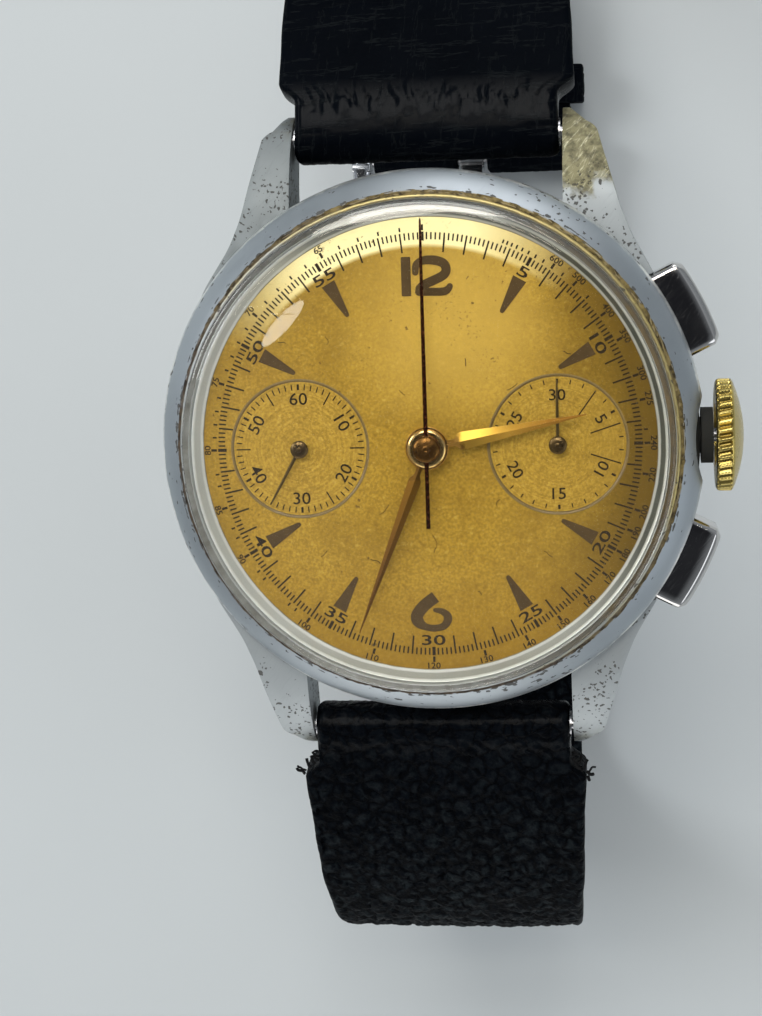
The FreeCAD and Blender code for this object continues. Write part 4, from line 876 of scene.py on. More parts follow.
def arcp(cx, cy, rx, ry, a0, a1, n=18):
    return [(cx + rx * math.cos(math.radians(a0 + (a1 - a0) * i / n)), cy + ry * math.sin(math.radians(a0 + (a1 - a0) * i / n))) for i in range(n + 1)]




def smooth(pts, k=7):
    """rounded path through the points"""
    o = []
    n = len(pts)
    for i in range(n - 1):
        p0, p1, p2, p3 = pts[max(i - 1, 0)], pts[i], pts[i + 1], pts[min(i + 2, n - 1)]
        for j in range(k):
            t = j / k
            o.append(tuple(0.5 * (2 * p1[c] + (p2[c] - p0[c]) * t + (2 * p0[c] - 5 * p1[c] + 4 * p2[c] - p3[c]) * t * t + (3 * p1[c] - p0[c] - 3 * p2[c] + p3[c]) * t ** 3) for c in (0, 1)))
    o.append(pts[-1])
    return o


# numerals 12 and 6: an upright bar, a curled 2 with a lifted tail, and an open 6
quad(mark_v, mark_f, [(-1.42, 9.83), (-1.36, 9.78), (-0.86, 9.78), (-0.80, 9.83), (-0.80, 12.26), (-0.85, 12.31), (-1.36, 12.31), (-1.42, 12.26)], 0.0, 0.03)
two = [(-0.50, 11.30), (-0.42, 11.78), (0.03, 12.05), (0.74, 12.05), (1.32, 11.84), (1.49, 11.44), (1.30, 11.08), (0.66, 10.76), (0.06, 10.50), (-0.24, 10.22)]
stroke(mark_v, mark_f, smooth(two), lambda t: 0.42 + 0.18 * min(1.0, t * 3.0), 0.0, 0.030, 0, 0)
stroke(mark_v, mark_f, smooth([(-0.30, 10.05), (0.55, 10.03), (1.28, 10.04), (1.56, 10.16), (1.70, 10.36)]), lambda t: 0.52 - 0.12 * max(0.0, t - 0.6) / 0.4, 0.0, 0.033, 0, 0)
six = [(0.20, -9.95), (-0.59, -10.56), (-1.06, -11.22), (-0.92, -11.68), (-0.50, -11.96), (0.10, -12.06), (0.66, -11.93), (0.96, -11.56), (0.92, -11.17), (0.58, -10.92), (0.16, -10.84)]


def w6(t):
    if t < 0.28:
        return 0.80
    if t < 0.40:
        return 0.80 - 0.34 * (t - 0.28) / 0.12
    if t < 0.55:
        return 0.46
    if t < 0.75:
        return 0.46 + 0.12 * (t - 0.55) / 0.2
    return 0.58 - 0.30 * (t - 0.75) / 0.25


stroke(mark_v, mark_f, smooth(six), w6, 0.0, 0.030, 0, 0, ends=(False, True))

# hairline scratches in the lacquer
import random
rs = random.Random(11)
for px_, py_, L_, a_ in ((-3.3, -4.4, 0.9, 0.5), (-4.0, -7.4, 0.7, -0.4), (0.2, -7.0, 1.3, 1.2), (3.0, -9.6, 0.4, 0.1), (5.2, 3.6, 0.8, 0.2), (-6.4, 6.8, 0.6, 1.0), (2.6, 5.2, 0.5, 2.0), (7.4, -7.0, 0.7, -0.6), (-9.6, 7.0, 0.5, 0.3), (4.4, -4.0, 0.6, 1.7), (-1.4, 3.4, 0.5, 2.6), (8.9, 6.0, 0.5, -0.2), (-7.3, -7.2, 0.6, 0.9)):
    q, ang = [(px_, py_)], a_
    for k in range(6):
        ang += rs.uniform(-0.5, 0.5)
        q.append((q[-1][0] + L_ / 6 * math.cos(ang), q[-1][1] + L_ / 6 * math.sin(ang)))
    stroke(ink_v, ink_f, q, rs.uniform(0.03, 0.05), 0.0, 0.006, 0, 0)

add_mesh("dial_ticks", ink_v, ink_f, M_ink, "case", False, ())
add_mesh("hour_markers", mark_v, mark_f, M_mark, "case", False, ())

# printed numbers from the built-in typeface
txt_objs = []


def label(s, az, r, size, cx=0.0, cy=0.0, w=0.0, sx=1.0, flip=None, bold=0.012):
    """number s centred at radius r on clock angle az, its top outward, or inward in the lower half"""
    az = az % 360
    inward = (90 < az < 270) if flip is None else flip
    cu = bpy.data.curves.new("num", "FONT")
    cu.body = s
    cu.size = 1.0
    cu.align_x = "CENTER"
    cu.align_y = "CENTER"
    cu.offset = bold
    cu.extrude = 0.0
    cu.resolution_u = 3
    o = bpy.data.objects.new("num", cu)
    bpy.context.collection.objects.link(o)
    dg = bpy.context.evaluated_depsgraph_get()
    dg.update()
    me = bpy.data.meshes.new_from_object(o.evaluated_get(dg))
    bpy.data.objects.remove(o)
    bpy.data.curves.remove(cu)
    xs = [v_.co.x for v_ in me.vertices]
    ys = [v_.co.y for v_ in me.vertices]
    mx, my = (max(xs) + min(xs)) / 2, (max(ys) + min(ys)) / 2
    sc = size / (max(ys) - min(ys))
    a = math.radians(90 - az)
    px, py = cx + r * math.cos(a), cy + r * math.sin(a)
    rot = math.radians(-az) + (math.pi if inward else 0.0)
    c, s_ = math.cos(rot), math.sin(rot)
    out_v = []
    for v_ in me.vertices:
        x, y = (v_.co.x - mx) * sc * sx, (v_.co.y - my) * sc
        out_v.append((px + x * c - y * s_, py + x * s_ + y * c, w + 0.010))
    fs = [tuple(p.vertices) for p in me.polygons]
    bpy.data.meshes.remove(me)
    txt_objs.append((out_v, fs))


for k in (1, 2, 4, 5, 6, 7, 8, 10, 11):
    label(str(k * 5), k * 30, 12.86, 0.70, sx=1.75, bold=0.012)
for N in TACHY:
    az = 3600.0 / N * 6.0
    if N == 60:
        az = 359.99
        continue
    label(str(N), az, 14.60, 0.42, sx=1.12, bold=0.015)
for k, s in enumerate(("60", "10", "20", "30", "40", "50")):
    label(s, k * 60, 3.28, 0.80, -SUB_X, 0, -0.084, 1.12, bold=0.006, flip=(90 < k * 60 < 270))
for k, s in enumerate(("30", "5", "10", "15", "20", "25")):
    label(s, k * 60, 3.22, 0.74, SUB_X, 0, -0.084, 1.12, bold=0.006, flip=(90 < k * 60 < 270))
tv, tf = [], []
for vv, ff in txt_objs:
    b = len(tv)
    tv += vv
    tf += [tuple(i + b for i in q) for q in ff]
nums = add_mesh("dial_numbers", tv, tf, M_ink, "case", False, ())
sd = nums.modifiers.new("thick", "SOLIDIFY")
sd.thickness = 0.000006
sd.offset = 0.0
bake(nums)

# sub-dial floors with turned rings, rings and ticks
for side, nm in ((-1, "left"), (1, "right")):
    cx = side * SUB_X
    prof = []
    nring = 54
    for i in range(nring * 4 + 1):
        r = 0.34 + (4.38 - 0.34) * i / (nring * 4)
        prof.append((r, -0.088 + 0.0028 * math.cos(2 * math.pi * i / 4)))
    prof.append((4.40, -0.094))
    prof += [(4.40, -0.098), (3.84, -0.098), (3.70, -0.155), (0.34, -0.155)]
    v, f = lathe(prof, 128)
    v = [(x + cx, y, w) for x, y, w in v]
    o = add_mesh("subdial_floor_" + nm, v, f, M_sub, "case", True, ())
    fix_normals(o)
    # raised lip line
    prof = [(4.40, -0.085), (4.42, -0.055), (4.46, -0.020), (4.50, 0.004), (4.545, 0.010), (4.59, 0.004), (4.61, -0.006), (4.56, -0.03), (4.44, -0.094)]
    v, f = lathe(prof, 160)
    v = [(x + cx, y, w) for x, y, w in v]
    o = add_mesh("subdial_lip_" + nm, v, f, M_ringline, "case", True, ())
    fix_normals(o)
    sv, sf = [], []
    if side < 0:
        for i in range(60):
            r0, r1, w = 3.86, 4.24, 0.075
            if i % 5 == 0 and i % 10:
                r0, w = 3.30, 0.085
            elif i % 10 == 0:
                w = 0.15
            radial(sv, sf, i * 6, r0, r1, w, w, cx, 0, -0.092, -0.078)
    else:
        for i in range(30):
            r0, r1, w = 3.95, 4.24, 0.075
            if i % 5 == 0:
                w = 0.15
            if i in (3, 6, 9):
                r0, w = 2.2, 0.085
            radial(sv, sf, i * 12, r0, r1, w, w, cx, 0, -0.092, -0.078)
    add_mesh("subdial_ticks_" + nm, sv, sf, M_ink, "case", False, ())


# ------------------------------------------------------------------ hands
def hand(name, stations, w0, h, ridge, az, cx, cy, body, mat, rep, tail=None, bend=None, lathes=(), bore=0.0):
    """hand with a raised middle line: stations are (distance, width)"""
    v, f = [], []
    a = math.radians(90 - az)
    ca, sa = math.cos(a), math.sin(a)
    st = list(stations)

    def dz(d):
        return 0.0 if bend is None else bend(d)
    for d, w in st:
        z = w0 + dz(d)
        rid = ridge * min(1.0, w / 0.8)
        for y, zz in ((-w / 2, z), (-w / 2, z + h), (-w / 4, z + h + rid * 0.5), (0, z + h + rid), (w / 4, z + h + rid * 0.5), (w / 2, z + h), (w / 2, z)):
            v.append((cx + d * ca - y * sa, cy + d * sa + y * ca, zz))
    k = 7
    for i in range(len(st) - 1):
        for j in range(k):
            jj = (j + 1) % k
            f.append((i * k + j, (i + 1) * k + j, (i + 1) * k + jj, i * k + jj))
    f.append(tuple(range(k)))
    f.append(tuple(reversed(range((len(st) - 1) * k, len(st) * k))))
    b = len(v)
    o = add_mesh(name, v, f, mat, body, True, rep)
    fix_normals(o)
    o.data.set_sharp_from_angle(angle=math.radians(34))
    i = 0
    for prof_, m_ in lathes:
        vv, ff = lathe(prof_, 72, closed=True)
        vv = [(x + cx, y + cy, w) for x, y, w in vv]
        q = add_mesh("%s_hub_%d" % (name, i), vv, ff, m_, body, True, ())
        merge_axis(q)
        q.data.set_sharp_from_angle(angle=math.radians(45))
        i += 1
    return o


def lance(length, wmax, w_neck, shoulder, n=22):
    """narrow neck, quick shoulder, long straight taper to a point"""
    st = [(0.95, w_neck), (shoulder - 0.45, w_neck * 0.94), (shoulder - 0.30, w_neck), (shoulder - 0.12, wmax * 0.72), (shoulder, wmax * 0.93), (shoulder + 0.25, wmax)]
    d0 = shoulder + 0.25
    for i in range(1, n + 1):
        t = i / n
        st.append((d0 + (length - d0) * t, 0.07 + (wmax - 0.07) * (1 - t ** 1.06)))
    return st


hand("hour_hand_leaf", lance(10.5, 1.16, 0.46, 2.15), 0.72, 0.035, 0.22, 79.0, 0, 0, "hour", M_gilt, ("hour_hand",),
     lathes=[([(1.06, 0.70), (1.40, 0.70), (1.42, 0.78), (1.36, 0.86), (1.06, 0.88)], M_hub)])
hand("minute_hand_leaf", lance(13.1, 0.84, 0.40, 2.15), 0.98, 0.035, 0.13, 201.5, 0, 0, "cannon", M_giltbrown, ("minute_hand",),
     bend=lambda d: -0.10 * max(0, (d - 9.5) / 3.6) ** 2,
     lathes=[([(0.73, 0.96), (1.20, 0.96), (1.27, 1.00), (1.27, 1.06), (1.20, 1.14), (1.05, 1.17), (0.73, 1.13)], M_hub)])
cst = [(-5.2, 0.24), (-5.15, 0.27), (-3.0, 0.26), (-0.9, 0.26), (0, 0.28), (2.0, 0.27), (6.0, 0.25), (10.0, 0.22), (13.0, 0.18), (14.6, 0.13), (14.8, 0.08)]
dome_p = [(0.0, 1.20), (0.80, 1.20), (0.86, 1.24), (0.87, 1.36)] + [(0.87 * math.cos(math.radians(q)), 1.36 + 0.26 * math.sin(math.radians(q))) for q in range(10, 75, 8)] + [(0.22, 1.618), (0.215, 1.66), (0.19, 1.685), (0.14, 1.69), (0.09, 1.665), (0.0, 1.66)]
hand("chrono_hand_long", cst, 1.27, 0.06, 0.03, 0.0, 0, 0, "chronograph", M_hubdark, ("chrono_hand",),
     bend=lambda d: -0.12 * max(0, (d - 10.5) / 4.3) ** 2, lathes=[(dome_p, M_cap)])
for nm, cx, az, L, body, rep in (("seconds_hand_small", -SUB_X, 209.5, 4.0, "seconds", "running_seconds_hand"), ("counter_hand_small", SUB_X, 0.0, 4.2, "recorder", "minute_counter_hand")):
    st = [(0.30, 0.21), (0.8, 0.21), (1.5, 0.20), (3.0, 0.165), (L - 0.1, 0.12), (L, 0.07)]
    pr = [(0.0, 0.28), (0.55, 0.28), (0.58, 0.32), (0.58, 0.42), (0.52, 0.48), (0.30, 0.52), (0.16, 0.53), (0.15, 0.58), (0.10, 0.60), (0.0, 0.59)]
    hand(nm, st, 0.30, 0.045, 0.05, az, cx, 0, body, M_needle, (rep,), lathes=[(pr, M_subhub)])

# ------------------------------------------------------------------ crown
NF = 38


def crown_mod(r, w, a, j):
    if 2.5 < r and 0.06 < w < 1.03:
        k = min(1.0, (w - 0.06) / 0.14) * min(1.0, (1.03 - w) / 0.12)
        ph = ((a + 0.05 * w) * NF / (2 * math.pi)) % 1.0
        d = abs(ph - 0.5) * 2
        g = max(0.0, 1.0 - d * 1.45)
        return r - 0.24 * k * math.sqrt(g) if g > 0 else r
    return r


prof = [(0.45, 0.80), (1.2, 0.80), (1.2, 0.20), (2.1, 0.20), (2.1, 0.03), (3.20, 0.0), (3.35, 0.01), (3.48, 0.03), (3.58, 0.08), (3.64, 0.14), (3.68, 0.20), (3.70, 0.28)]
prof += [(3.70, 0.28 + 0.070 * i) for i in range(1, 10)]
prof += [(3.70, 0.96), (3.685, 1.02), (3.65, 1.08), (3.58, 1.14), (3.46, 1.19)]
s_ = sph(3.46, 1.19, 1.88, 18)
prof += s_[1:-1] + [(0.0, 1.88), (0.0, 1.3), (0.45, 1.3)]
v, f = lathe(prof, 570, True, crown_mod)
v = [(18.68 + w, y, STEM_W - x) for x, y, w in v]
cr = add_mesh("crown_fluted", v, f, M_crown, "crown", True, ("crown",))
merge_axis(cr)
cr.data.set_sharp_from_angle(angle=math.radians(50))


# ------------------------------------------------------------------ pushers
def pusher(sg, name, body, rep):
    """curved cap with a soft bevel, on a round stem"""
    nx, nz = 28, 8
    v, f = [], []
    hw, hh = 2.98, 1.58
    bv = 0.34

    def section(t):
        return t
    # rounded box in (across, height), swept from the inner plane to the curved outer face
    ring_pts = []
    rr = 0.44
    for (cx_, cz_, a0) in ((hw - rr, hh - rr, 0), (-(hw - rr), hh - rr, 90), (-(hw - rr), -(hh - rr), 180), (hw - rr, -(hh - rr), 270)):
        for k in range(6):
            a = math.radians(a0 + 90 * k / 5)
            ring_pts.append((cx_ + rr * math.cos(a), cz_ + rr * math.sin(a)))
    # densify straight runs
    dense = []
    for i, p in enumerate(ring_pts):
        q = ring_pts[(i + 1) % len(ring_pts)]
        d = math.hypot(q[0] - p[0], q[1] - p[1])
        n = max(1, int(d / 0.35))
        for k in range(n):
            dense.append((p[0] + (q[0] - p[0]) * k / n, p[1] + (q[1] - p[1]) * k / n))
    m = len(dense)
    levels = []
    for (s, inset) in ((0.0, 0.0), (0.35, 0.0), (0.75, 0.0), (1.0, 0.0), (1.03, 0.02), (1.08, 0.09), (1.15, 0.20), (1.22, 0.32), (1.25, 0.38), (1.265, 0.46)):
        levels.append((s, inset))
    for s, inset in levels:
        for x, z in dense:
            kx = (hw - inset) / hw
            kz = (hh - inset) / hh
            xx, zz = x * kx, z * kz
            inner = 17.3
            outer = math.sqrt(20.12 ** 2 - xx * xx)
            flat = outer - 0.44
            if s <= 1.0:
                r = inner + (flat - inner) * s
            else:
                r = flat + 0.44 * (s - 1.0) / 0.265
            v.append((r, xx, STEM_W + zz))
    for i in range(len(levels) - 1):
        for j in range(m):
            jj = (j + 1) % m
            f.append((i * m + j, i * m + jj, (i + 1) * m + jj, (i + 1) * m + j))
    f.append(tuple(reversed(range(m))))
    # outer face as a strip grid: pair points left to right
    last = (len(levels) - 1) * m
    c0 = len(v)
    xs = sorted(set(round(p[0], 4) for p in dense))
    cols = [i for i in range(m)]
    # centre spine
    spine_n = 17
    for k in range(spine_n):
        x = (-(hw - 0.46) + 0.5) + (2 * (hw - 0.46) - 1.0) * k / (spine_n - 1)
        v.append((math.sqrt(20.12 ** 2 - x * x), x, STEM_W))

    def near(x):
        x = max(-(hw - 0.46) + 0.5, min((hw - 0.46) - 0.5, x))
        return c0 + int(round((x + (hw - 0.46) - 0.5) / (2 * (hw - 0.46) - 1.0) * (spine_n - 1)))
    for j in range(m):
        jj = (j + 1) % m
        a, b = last + j, last + jj
        na, nb = near(v[a][1]), near(v[b][1])
        f.append((a, b, nb) if na == nb else (a, b, nb, na))
        if na != nb and abs(na - nb) > 1:
            pass
    t = math.radians(sg * PUSH_ANG)
    c, s = math.cos(t), math.sin(t)
    v = [(x * c - y * s, x * s + y * c, w) for x, y, w in v]
    o = add_mesh(name, v, f, M_push, body, True, (rep,))
    fix_normals(o)
    o.data.set_sharp_from_angle(angle=math.radians(40))
    # stem
    sv, sf = lathe([(0.0, 14.46), (0.45, 14.46), (0.5, 14.52), (0.5, 17.35), (0.0, 17.35)], 32)
    sv = [(w, x, STEM_W + y) for x, y, w in sv]
    sv = [(x * c - y * s, x * s + y * c, w) for x, y, w in sv]
    q = add_mesh(name + "_stem", sv, sf, M_steel, body, True, ())
    merge_axis(q)


pusher(1, "start_button", "start_pusher", "start_pusher")
pusher(-1, "reset_button", "reset_pusher", "reset_pusher")


# ------------------------------------------------------------------ strap
BAR_Y, BAR_W = 20.1, -5.2
T_LUG, T_FOOT = 3.4, 2.1


def bez3(p, n):
    o = []
    for i in range(n + 1):
        t = i / n
        o.append(tuple((1 - t) ** 3 * p[0][k] + 3 * t * (1 - t) ** 2 * p[1][k] + 3 * t * t * (1 - t) * p[2][k] + t ** 3 * p[3][k] for k in (0, 1)))
    return o


def spine(zf, d_end):
    zb = Z0 + BAR_W
    p = bez3([(BAR_Y, zb), (27.0, zb - 1.4), (38.4, zb - 4.8), (38.4, 28.0)], 120)
    p += [(38.4, 28 - 11 * i / 20) for i in range(1, 21)]
    p += bez3([(38.4, 17.0), (38.4, 7.5), (37.3, zf), (30.0, zf)], 110)[1:]
    n = int((30 - d_end) / 0.3)
    p += [(30.0 - (30.0 - d_end) * i / n, zf) for i in range(1, n + 1)]
    return p


def resample(p, ds):
    L = [0.0]
    for a, b in zip(p, p[1:]):
        L.append(L[-1] + math.hypot(b[0] - a[0], b[1] - a[1]))
    n = max(2, int(L[-1] / ds))
    o = []
    k = 0
    for i in range(n + 1):
        s = L[-1] * i / n
        while k < len(L) - 2 and L[k + 1] < s:
            k += 1
        t = (s - L[k]) / max(1e-9, L[k + 1] - L[k])
        a, b = p[k], p[k + 1]
        dx, dz = b[0] - a[0], b[1] - a[1]
        q = math.hypot(dx, dz)
        o.append((a[0] + dx * t, a[1] + dz * t, dx / q, dz / q, s))
    return o, L[-1]


def N3(x, y, z, s):
    return noise.noise(Vector((x * s, y * s, z * s)))


def strap_mesh(name, sy, zf, d_end, w_end, kind, rep, body, mat, tip=0.0, buckle=False):
    pts, tot = resample(spine(zf, d_end), 0.22)
    s_tot = tot
    foot_s = tot - (30.0 - d_end)
    if tip:
        n = int(tip / 0.22)
        lx, lz = pts[-1][0], pts[-1][1]
        for i in range(1, n + 1):
            pts.append((lx - tip * i / n, lz, -1.0, 0.0, s_tot + tip * i / n))
    # the same leather carries on round the spring bar and tucks underneath
    NW = 34
    wrap = []
    for k in range(NW, 0, -1):
        wrap.append((BAR_Y, Z0 + BAR_W, math.radians(90.0 + 222.0 * k / NW), None, -1.0 - k))
    pts = wrap + pts
    # cross-section: outer face points then edges then inner face
    NO = 120
    NE = 6
    NI = 30
    v, f = [], []
    m = None
    for (d, z, tx, tz, s) in pts:
        wrapped = tz is None
        if wrapped:
            phi = tx
            tx, tz = math.sin(phi), -math.cos(phi)
        nx, nz = -tz, tx
        # outward normal: away from the wrist side
        if s < 2.3:
            w = 17.6
        elif s < 3.5:
            w = 17.6 + (19.7 - 17.6) * (0.5 - 0.5 * math.cos(math.pi * (s - 2.3) / 1.2))
        else:
            w = 19.7 + (w_end - 19.7) * min(1.0, (s - 3.5) / 33.0)
        if s > s_tot:
            u = (s - s_tot) / tip
            w = w_end * math.sqrt(max(0.0, 1 - (0.10 + 0.90 * u) ** 3.2)) + 0.2
        th = T_LUG + (T_FOOT - T_LUG) * min(1.0, s / 30.0)
        if s < 0.3:
            th = 3.3
        # outer side sign: the normal that points away from the watch's inside
        sgn = 1.0
        ox, oz = tz * -1, tx
        # at the start the path runs outward (+d): outer is up
        if ox * 0 + oz * 1 < 0 and s < 2 and not wrapped:
            sgn = -1.0
        hw = w / 2
        er = min(0.55, th * 0.28, hw * 0.8)
        # worn edges wander a little
        hw += 0.10 * N3(3.1, s * 0.35, 7.0 if kind == "crease" else 1.0, 1.0) - 0.05
        ring = []
        for i in range(NO + 1):
            x = -(hw - er) + 2 * (hw - er) * i / NO
            u = max(-1.0, min(1.0, x / hw))
            crown_h = 0.16 * (1 - u * u)
            ring.append((x, th / 2 + crown_h - 0.10, 1))
        for i in range(1, NE):
            a = math.radians(90 - 90 * i / NE)
            ring.append((hw - er + er * math.cos(a), th / 2 - er + er * math.sin(a) - 0.08, 0.4))
        ring.append((hw, 0.0, 0))
        for i in range(1, NE):
            a = math.radians(-90 * i / NE)
            ring.append((hw - er + er * math.cos(a), -th / 2 + er + er * math.sin(a), 0.1))
        for i in range(NI + 1):
            x = (hw - er) - 2 * (hw - er) * i / NI
            ring.append((x, -th / 2, -1))
        for i in range(1, NE):
            a = math.radians(-90 - 90 * i / NE)
            ring.append((-(hw - er) + er * math.cos(a), -th / 2 + er + er * math.sin(a), 0.1))
        ring.append((-hw, 0.0, 0))
        for i in range(1, NE):
            a = math.radians(180 - 90 * i / NE)
            ring.append((-(hw - er) + er * math.cos(a), th / 2 - er + er * math.sin(a) - 0.08, 0.4))
        m = len(ring)
        for x, t_, side in ring:
            if wrapped:
                if side > 0.2:
                    tt = 1.66 - max(0.0, th / 2 - 0.08 - t_) * (1.0 if side < 1 else 0.0)
                    tt += (0.05 * N3(x * 2.0, phi * 1.8, 12.0, 1.0) + 0.035 * N3(x * 4.5, phi * 3.2, 40.0, 1.0) - 0.03) * min(1.0, (phi - math.pi / 2) / 0.35) * (1.0 if side == 1 else side)
                    tt = max(1.0, tt)
                elif side == 0:
                    tt = 1.30
                elif side > 0:
                    tt = 0.97
                else:
                    tt = 0.95
                v.append((x, sy * (d + ox * tt), z + oz * tt - Z0))
                continue
            h = 0.0
            if side > 0:
                k = side if side < 1 else 1.0
                if kind == "pebble":
                    c = noise.voronoi(Vector((x / 0.62, s / 0.55, 0.37)))[0]
                    c2 = noise.voronoi(Vector((x / 1.5 + 9, s / 1.2, 2.2)))[0]
                    h = 0.11 * (c[1] - c[0]) - 0.05 + 0.15 * (c2[1] - c2[0]) - 0.08
                    h -= 0.12 * math.exp(-((c2[1] - c2[0]) / 0.12) ** 2) + 0.06 * math.exp(-((c[1] - c[0]) / 0.12) ** 2)
                    h += 0.05 * N3(x, s, 0.0, 1.4)
                    # horizontal folds where the leather turns under
                    if 26 < s < 44:
                        q = math.exp(-((s - 34) / 6.0) ** 2)
                        h -= 0.13 * q * max(0.0, math.sin(2 * math.pi * s / 2.1 + 1.8 * N3(x, s, 3.0, 0.25))) ** 4
                else:
                    h = 0.05 * N3(x, s, 0.0, 0.5) + 0.025 * N3(x, s, 4.0, 2.2)
                    # cross creases with wandering lines
                    for (s0, a_, ph, x0, x1) in ((8.6, 0.16, 0.3, -9, -1.5), (9.1, 0.10, 1.1, -1, 5), (13.6, 0.20, 2.2, -6.5, 1.0), (14.4, 0.15, 0.7, 0.8, 4.6), (12.9, 0.10, 4.0, 4.0, 9.5), (18.5, 0.14, 3.1, -8, 3), (22.5, 0.14, 5.2, -3, 8), (27.0, 0.16, 6.0, -9, 6), (31.5, 0.13, 1.9, -6, 9)):
                        line = s0 + 0.55 * N3(x, ph, 0.0, 0.35) + 0.18 * N3(x, ph, 5.0, 1.5)
                        g = math.exp(-((s - line) / 0.22) ** 2) - 0.55 * math.exp(-((s - line - 0.55) / 0.35) ** 2)
                        win = max(0.0, min(1.0, (x - x0) / 1.2)) * max(0.0, min(1.0, (x1 - x) / 1.2))
                        h -= a_ * g * win
                    # fine lengthwise wrinkles over the bend near the lugs
                    q = math.exp(-((s - 2.3) / 1.1) ** 2)
                    if q > 0.02:
                        wr = N3(x * 1.6, s * 0.9, 1.0, 1.0) + 0.35 * N3(x * 4.0, s * 1.6, 2.0, 1.0)
                        h += 0.05 * q * wr
                        h -= 0.06 * q * max(0.0, 1 - abs(N3(x * 1.1 + 0.6 * s, s * 0.5, 21.0, 1.0)) * 12)
                # both halves: short glossy wrinkles next to the bar
                q = math.exp(-((s - (1.6 if kind == "pebble" else 2.2)) / 1.0) ** 2)
                h += 0.07 * q * N3(x * 2.2, s * 0.6, 12.0, 1.0)
                h *= k
            elif side < 0:
                h = -(0.015 * N3(x, s, 6.0, 3.0) + 0.012 * N3(x, s, 6.0, 8.0))
                h = -abs(h) * 0.2
            tt = t_ + h
            if side < 0:
                tt = t_ + abs(h)
            if side > 0 and s < 1.8:
                q = s / 1.8
                q = q * q * (3 - 2 * q)
                dip = 0.02 * max(0.0, 1 - s / 0.7) ** 2
                tt = tt * q + (min(t_ + 0.02, 1.66 - (th / 2 - t_ if t_ < th / 2 - 0.2 else 0.0)) - dip) * (1 - q)
            v.append((x, sy * (d + ox * sgn * tt), max(0.01, z + oz * sgn * tt) - Z0))
    nrow = len(pts)
    for i in range(nrow - 1):
        for j in range(m):
            jj = (j + 1) % m
            f.append((i * m + j, i * m + jj, (i + 1) * m + jj, (i + 1) * m + j))
    f.append(tuple(range(m)))
    f.append(tuple(reversed(range((nrow - 1) * m, nrow * m))))
    o = add_mesh(name, v, f, mat, body, True, rep)
    fix_normals(o)
    return o


def cyl_x(r, x0, x1, y, w, n=48, rx=0.0, seg=1):
    v, f = [], []
    xs = [x0 + (x1 - x0) * i / seg for i in range(seg + 1)]
    for x in xs:
        for k in range(n):
            a = 2 * math.pi * k / n
            v.append((x, y + r * math.cos(a), w + r * math.sin(a)))
    for i in range(seg):
        for k in range(n):
            kk = (k + 1) % n
            f.append((i * n + k, i * n + kk, (i + 1) * n + kk, (i + 1) * n + k))
    return v, f


def loop(name, y, w, r0, r1, hw, kind, mat, body, phase=0.0):
    """leather rolled round a bar: a thick tube with creased skin"""
    v, f = [], []
    n, seg = 72, 70
    for i in range(seg + 1):
        x = -hw + 2 * hw * i / seg
        e = 0.0
        d = min(x + hw, hw - x)
        if d < 0.45:
            e = 0.45 - math.sqrt(max(0.0, 0.45 ** 2 - (0.45 - d) ** 2))
        for k in range(n):
            a = 2 * math.pi * k / n
            r = r1 - e * 0.8 + 0.05 * N3(x * 2.4, a * 1.2 * 2, 1.0 + phase, 1.0) + 0.03 * N3(x * 6, a * 4, 3.0 + phase, 1.0) - 0.05
            v.append((x, y + r * math.cos(a), w + r * math.sin(a)))
    b = len(v)
    for i in (0, seg):
        x = -hw + 2 * hw * i / seg
        for k in range(n):
            a = 2 * math.pi * k / n
            v.append((x, y + r0 * math.cos(a), w + r0 * math.sin(a)))
    for i in range(seg):
        for k in range(n):
            kk = (k + 1) % n
            f.append((i * n + k, i * n + kk, (i + 1) * n + kk, (i + 1) * n + k))
    for k in range(n):
        kk = (k + 1) % n
        f.append((b + k, b + kk, kk, k))
        f.append((seg * n + k, seg * n + kk, b + n + kk, b + n + k))
        f.append((b + k, b + n + k, b + n + kk, b + kk))
    o = add_mesh(name, v, f, mat, body, True, ())
    fix_normals(o)
    o.data.set_sharp_from_angle(angle=math.radians(60))
    return o


strap_l = strap_mesh("strap_lower_leather", -1, T_FOOT / 2, -1.0, 17.0, "pebble", ("strap_long",), "strap_long", M_leath_p, tip=5.5)
strap_s = strap_mesh("strap_upper_leather", 1, 2.25, 22.7, 17.0, "crease", ("strap_short",), "strap_short", M_leath_c)


# holes for the tongue, punched through the long half
def punch(o, cyls):
    v, f = [], []
    for (x, y, r, z0, z1) in cyls:
        b = len(v)
        n = 28
        for z in (z0, z1):
            for k in range(n):
                a = 2 * math.pi * (k + 0.37) / n
                v.append((x + r * math.cos(a), y + r * math.sin(a), z - Z0))
        for k in range(n):
            kk = (k + 1) % n
            f.append((b + k, b + kk, b + n + kk, b + n + k))
        f.append(tuple(b + k for k in reversed(range(n))))
        f.append(tuple(b + n + k for k in range(n)))
    me_ = bpy.data.meshes.new("punch")
    me_.from_pydata([P(*q) for q in v], [], f)
    c_ = bpy.data.objects.new("punch", me_)
    bpy.context.collection.objects.link(c_)
    md_ = o.modifiers.new("holes", "BOOLEAN")
    md_.operation = "DIFFERENCE"
    md_.solver = "EXACT"
    md_.object = c_
    bake(o)
    bpy.data.objects.remove(c_)
    for p_ in o.data.polygons:
        p_.use_smooth = True
    o.data.set_sharp_from_angle(angle=math.radians(55))
    if not o.data.materials:
        o.data.materials.append(M_leath_p)


punch(strap_l, [(0.0, -3.5 - 5.0 * i, 0.78, -0.8, 3.4) for i in range(6)])


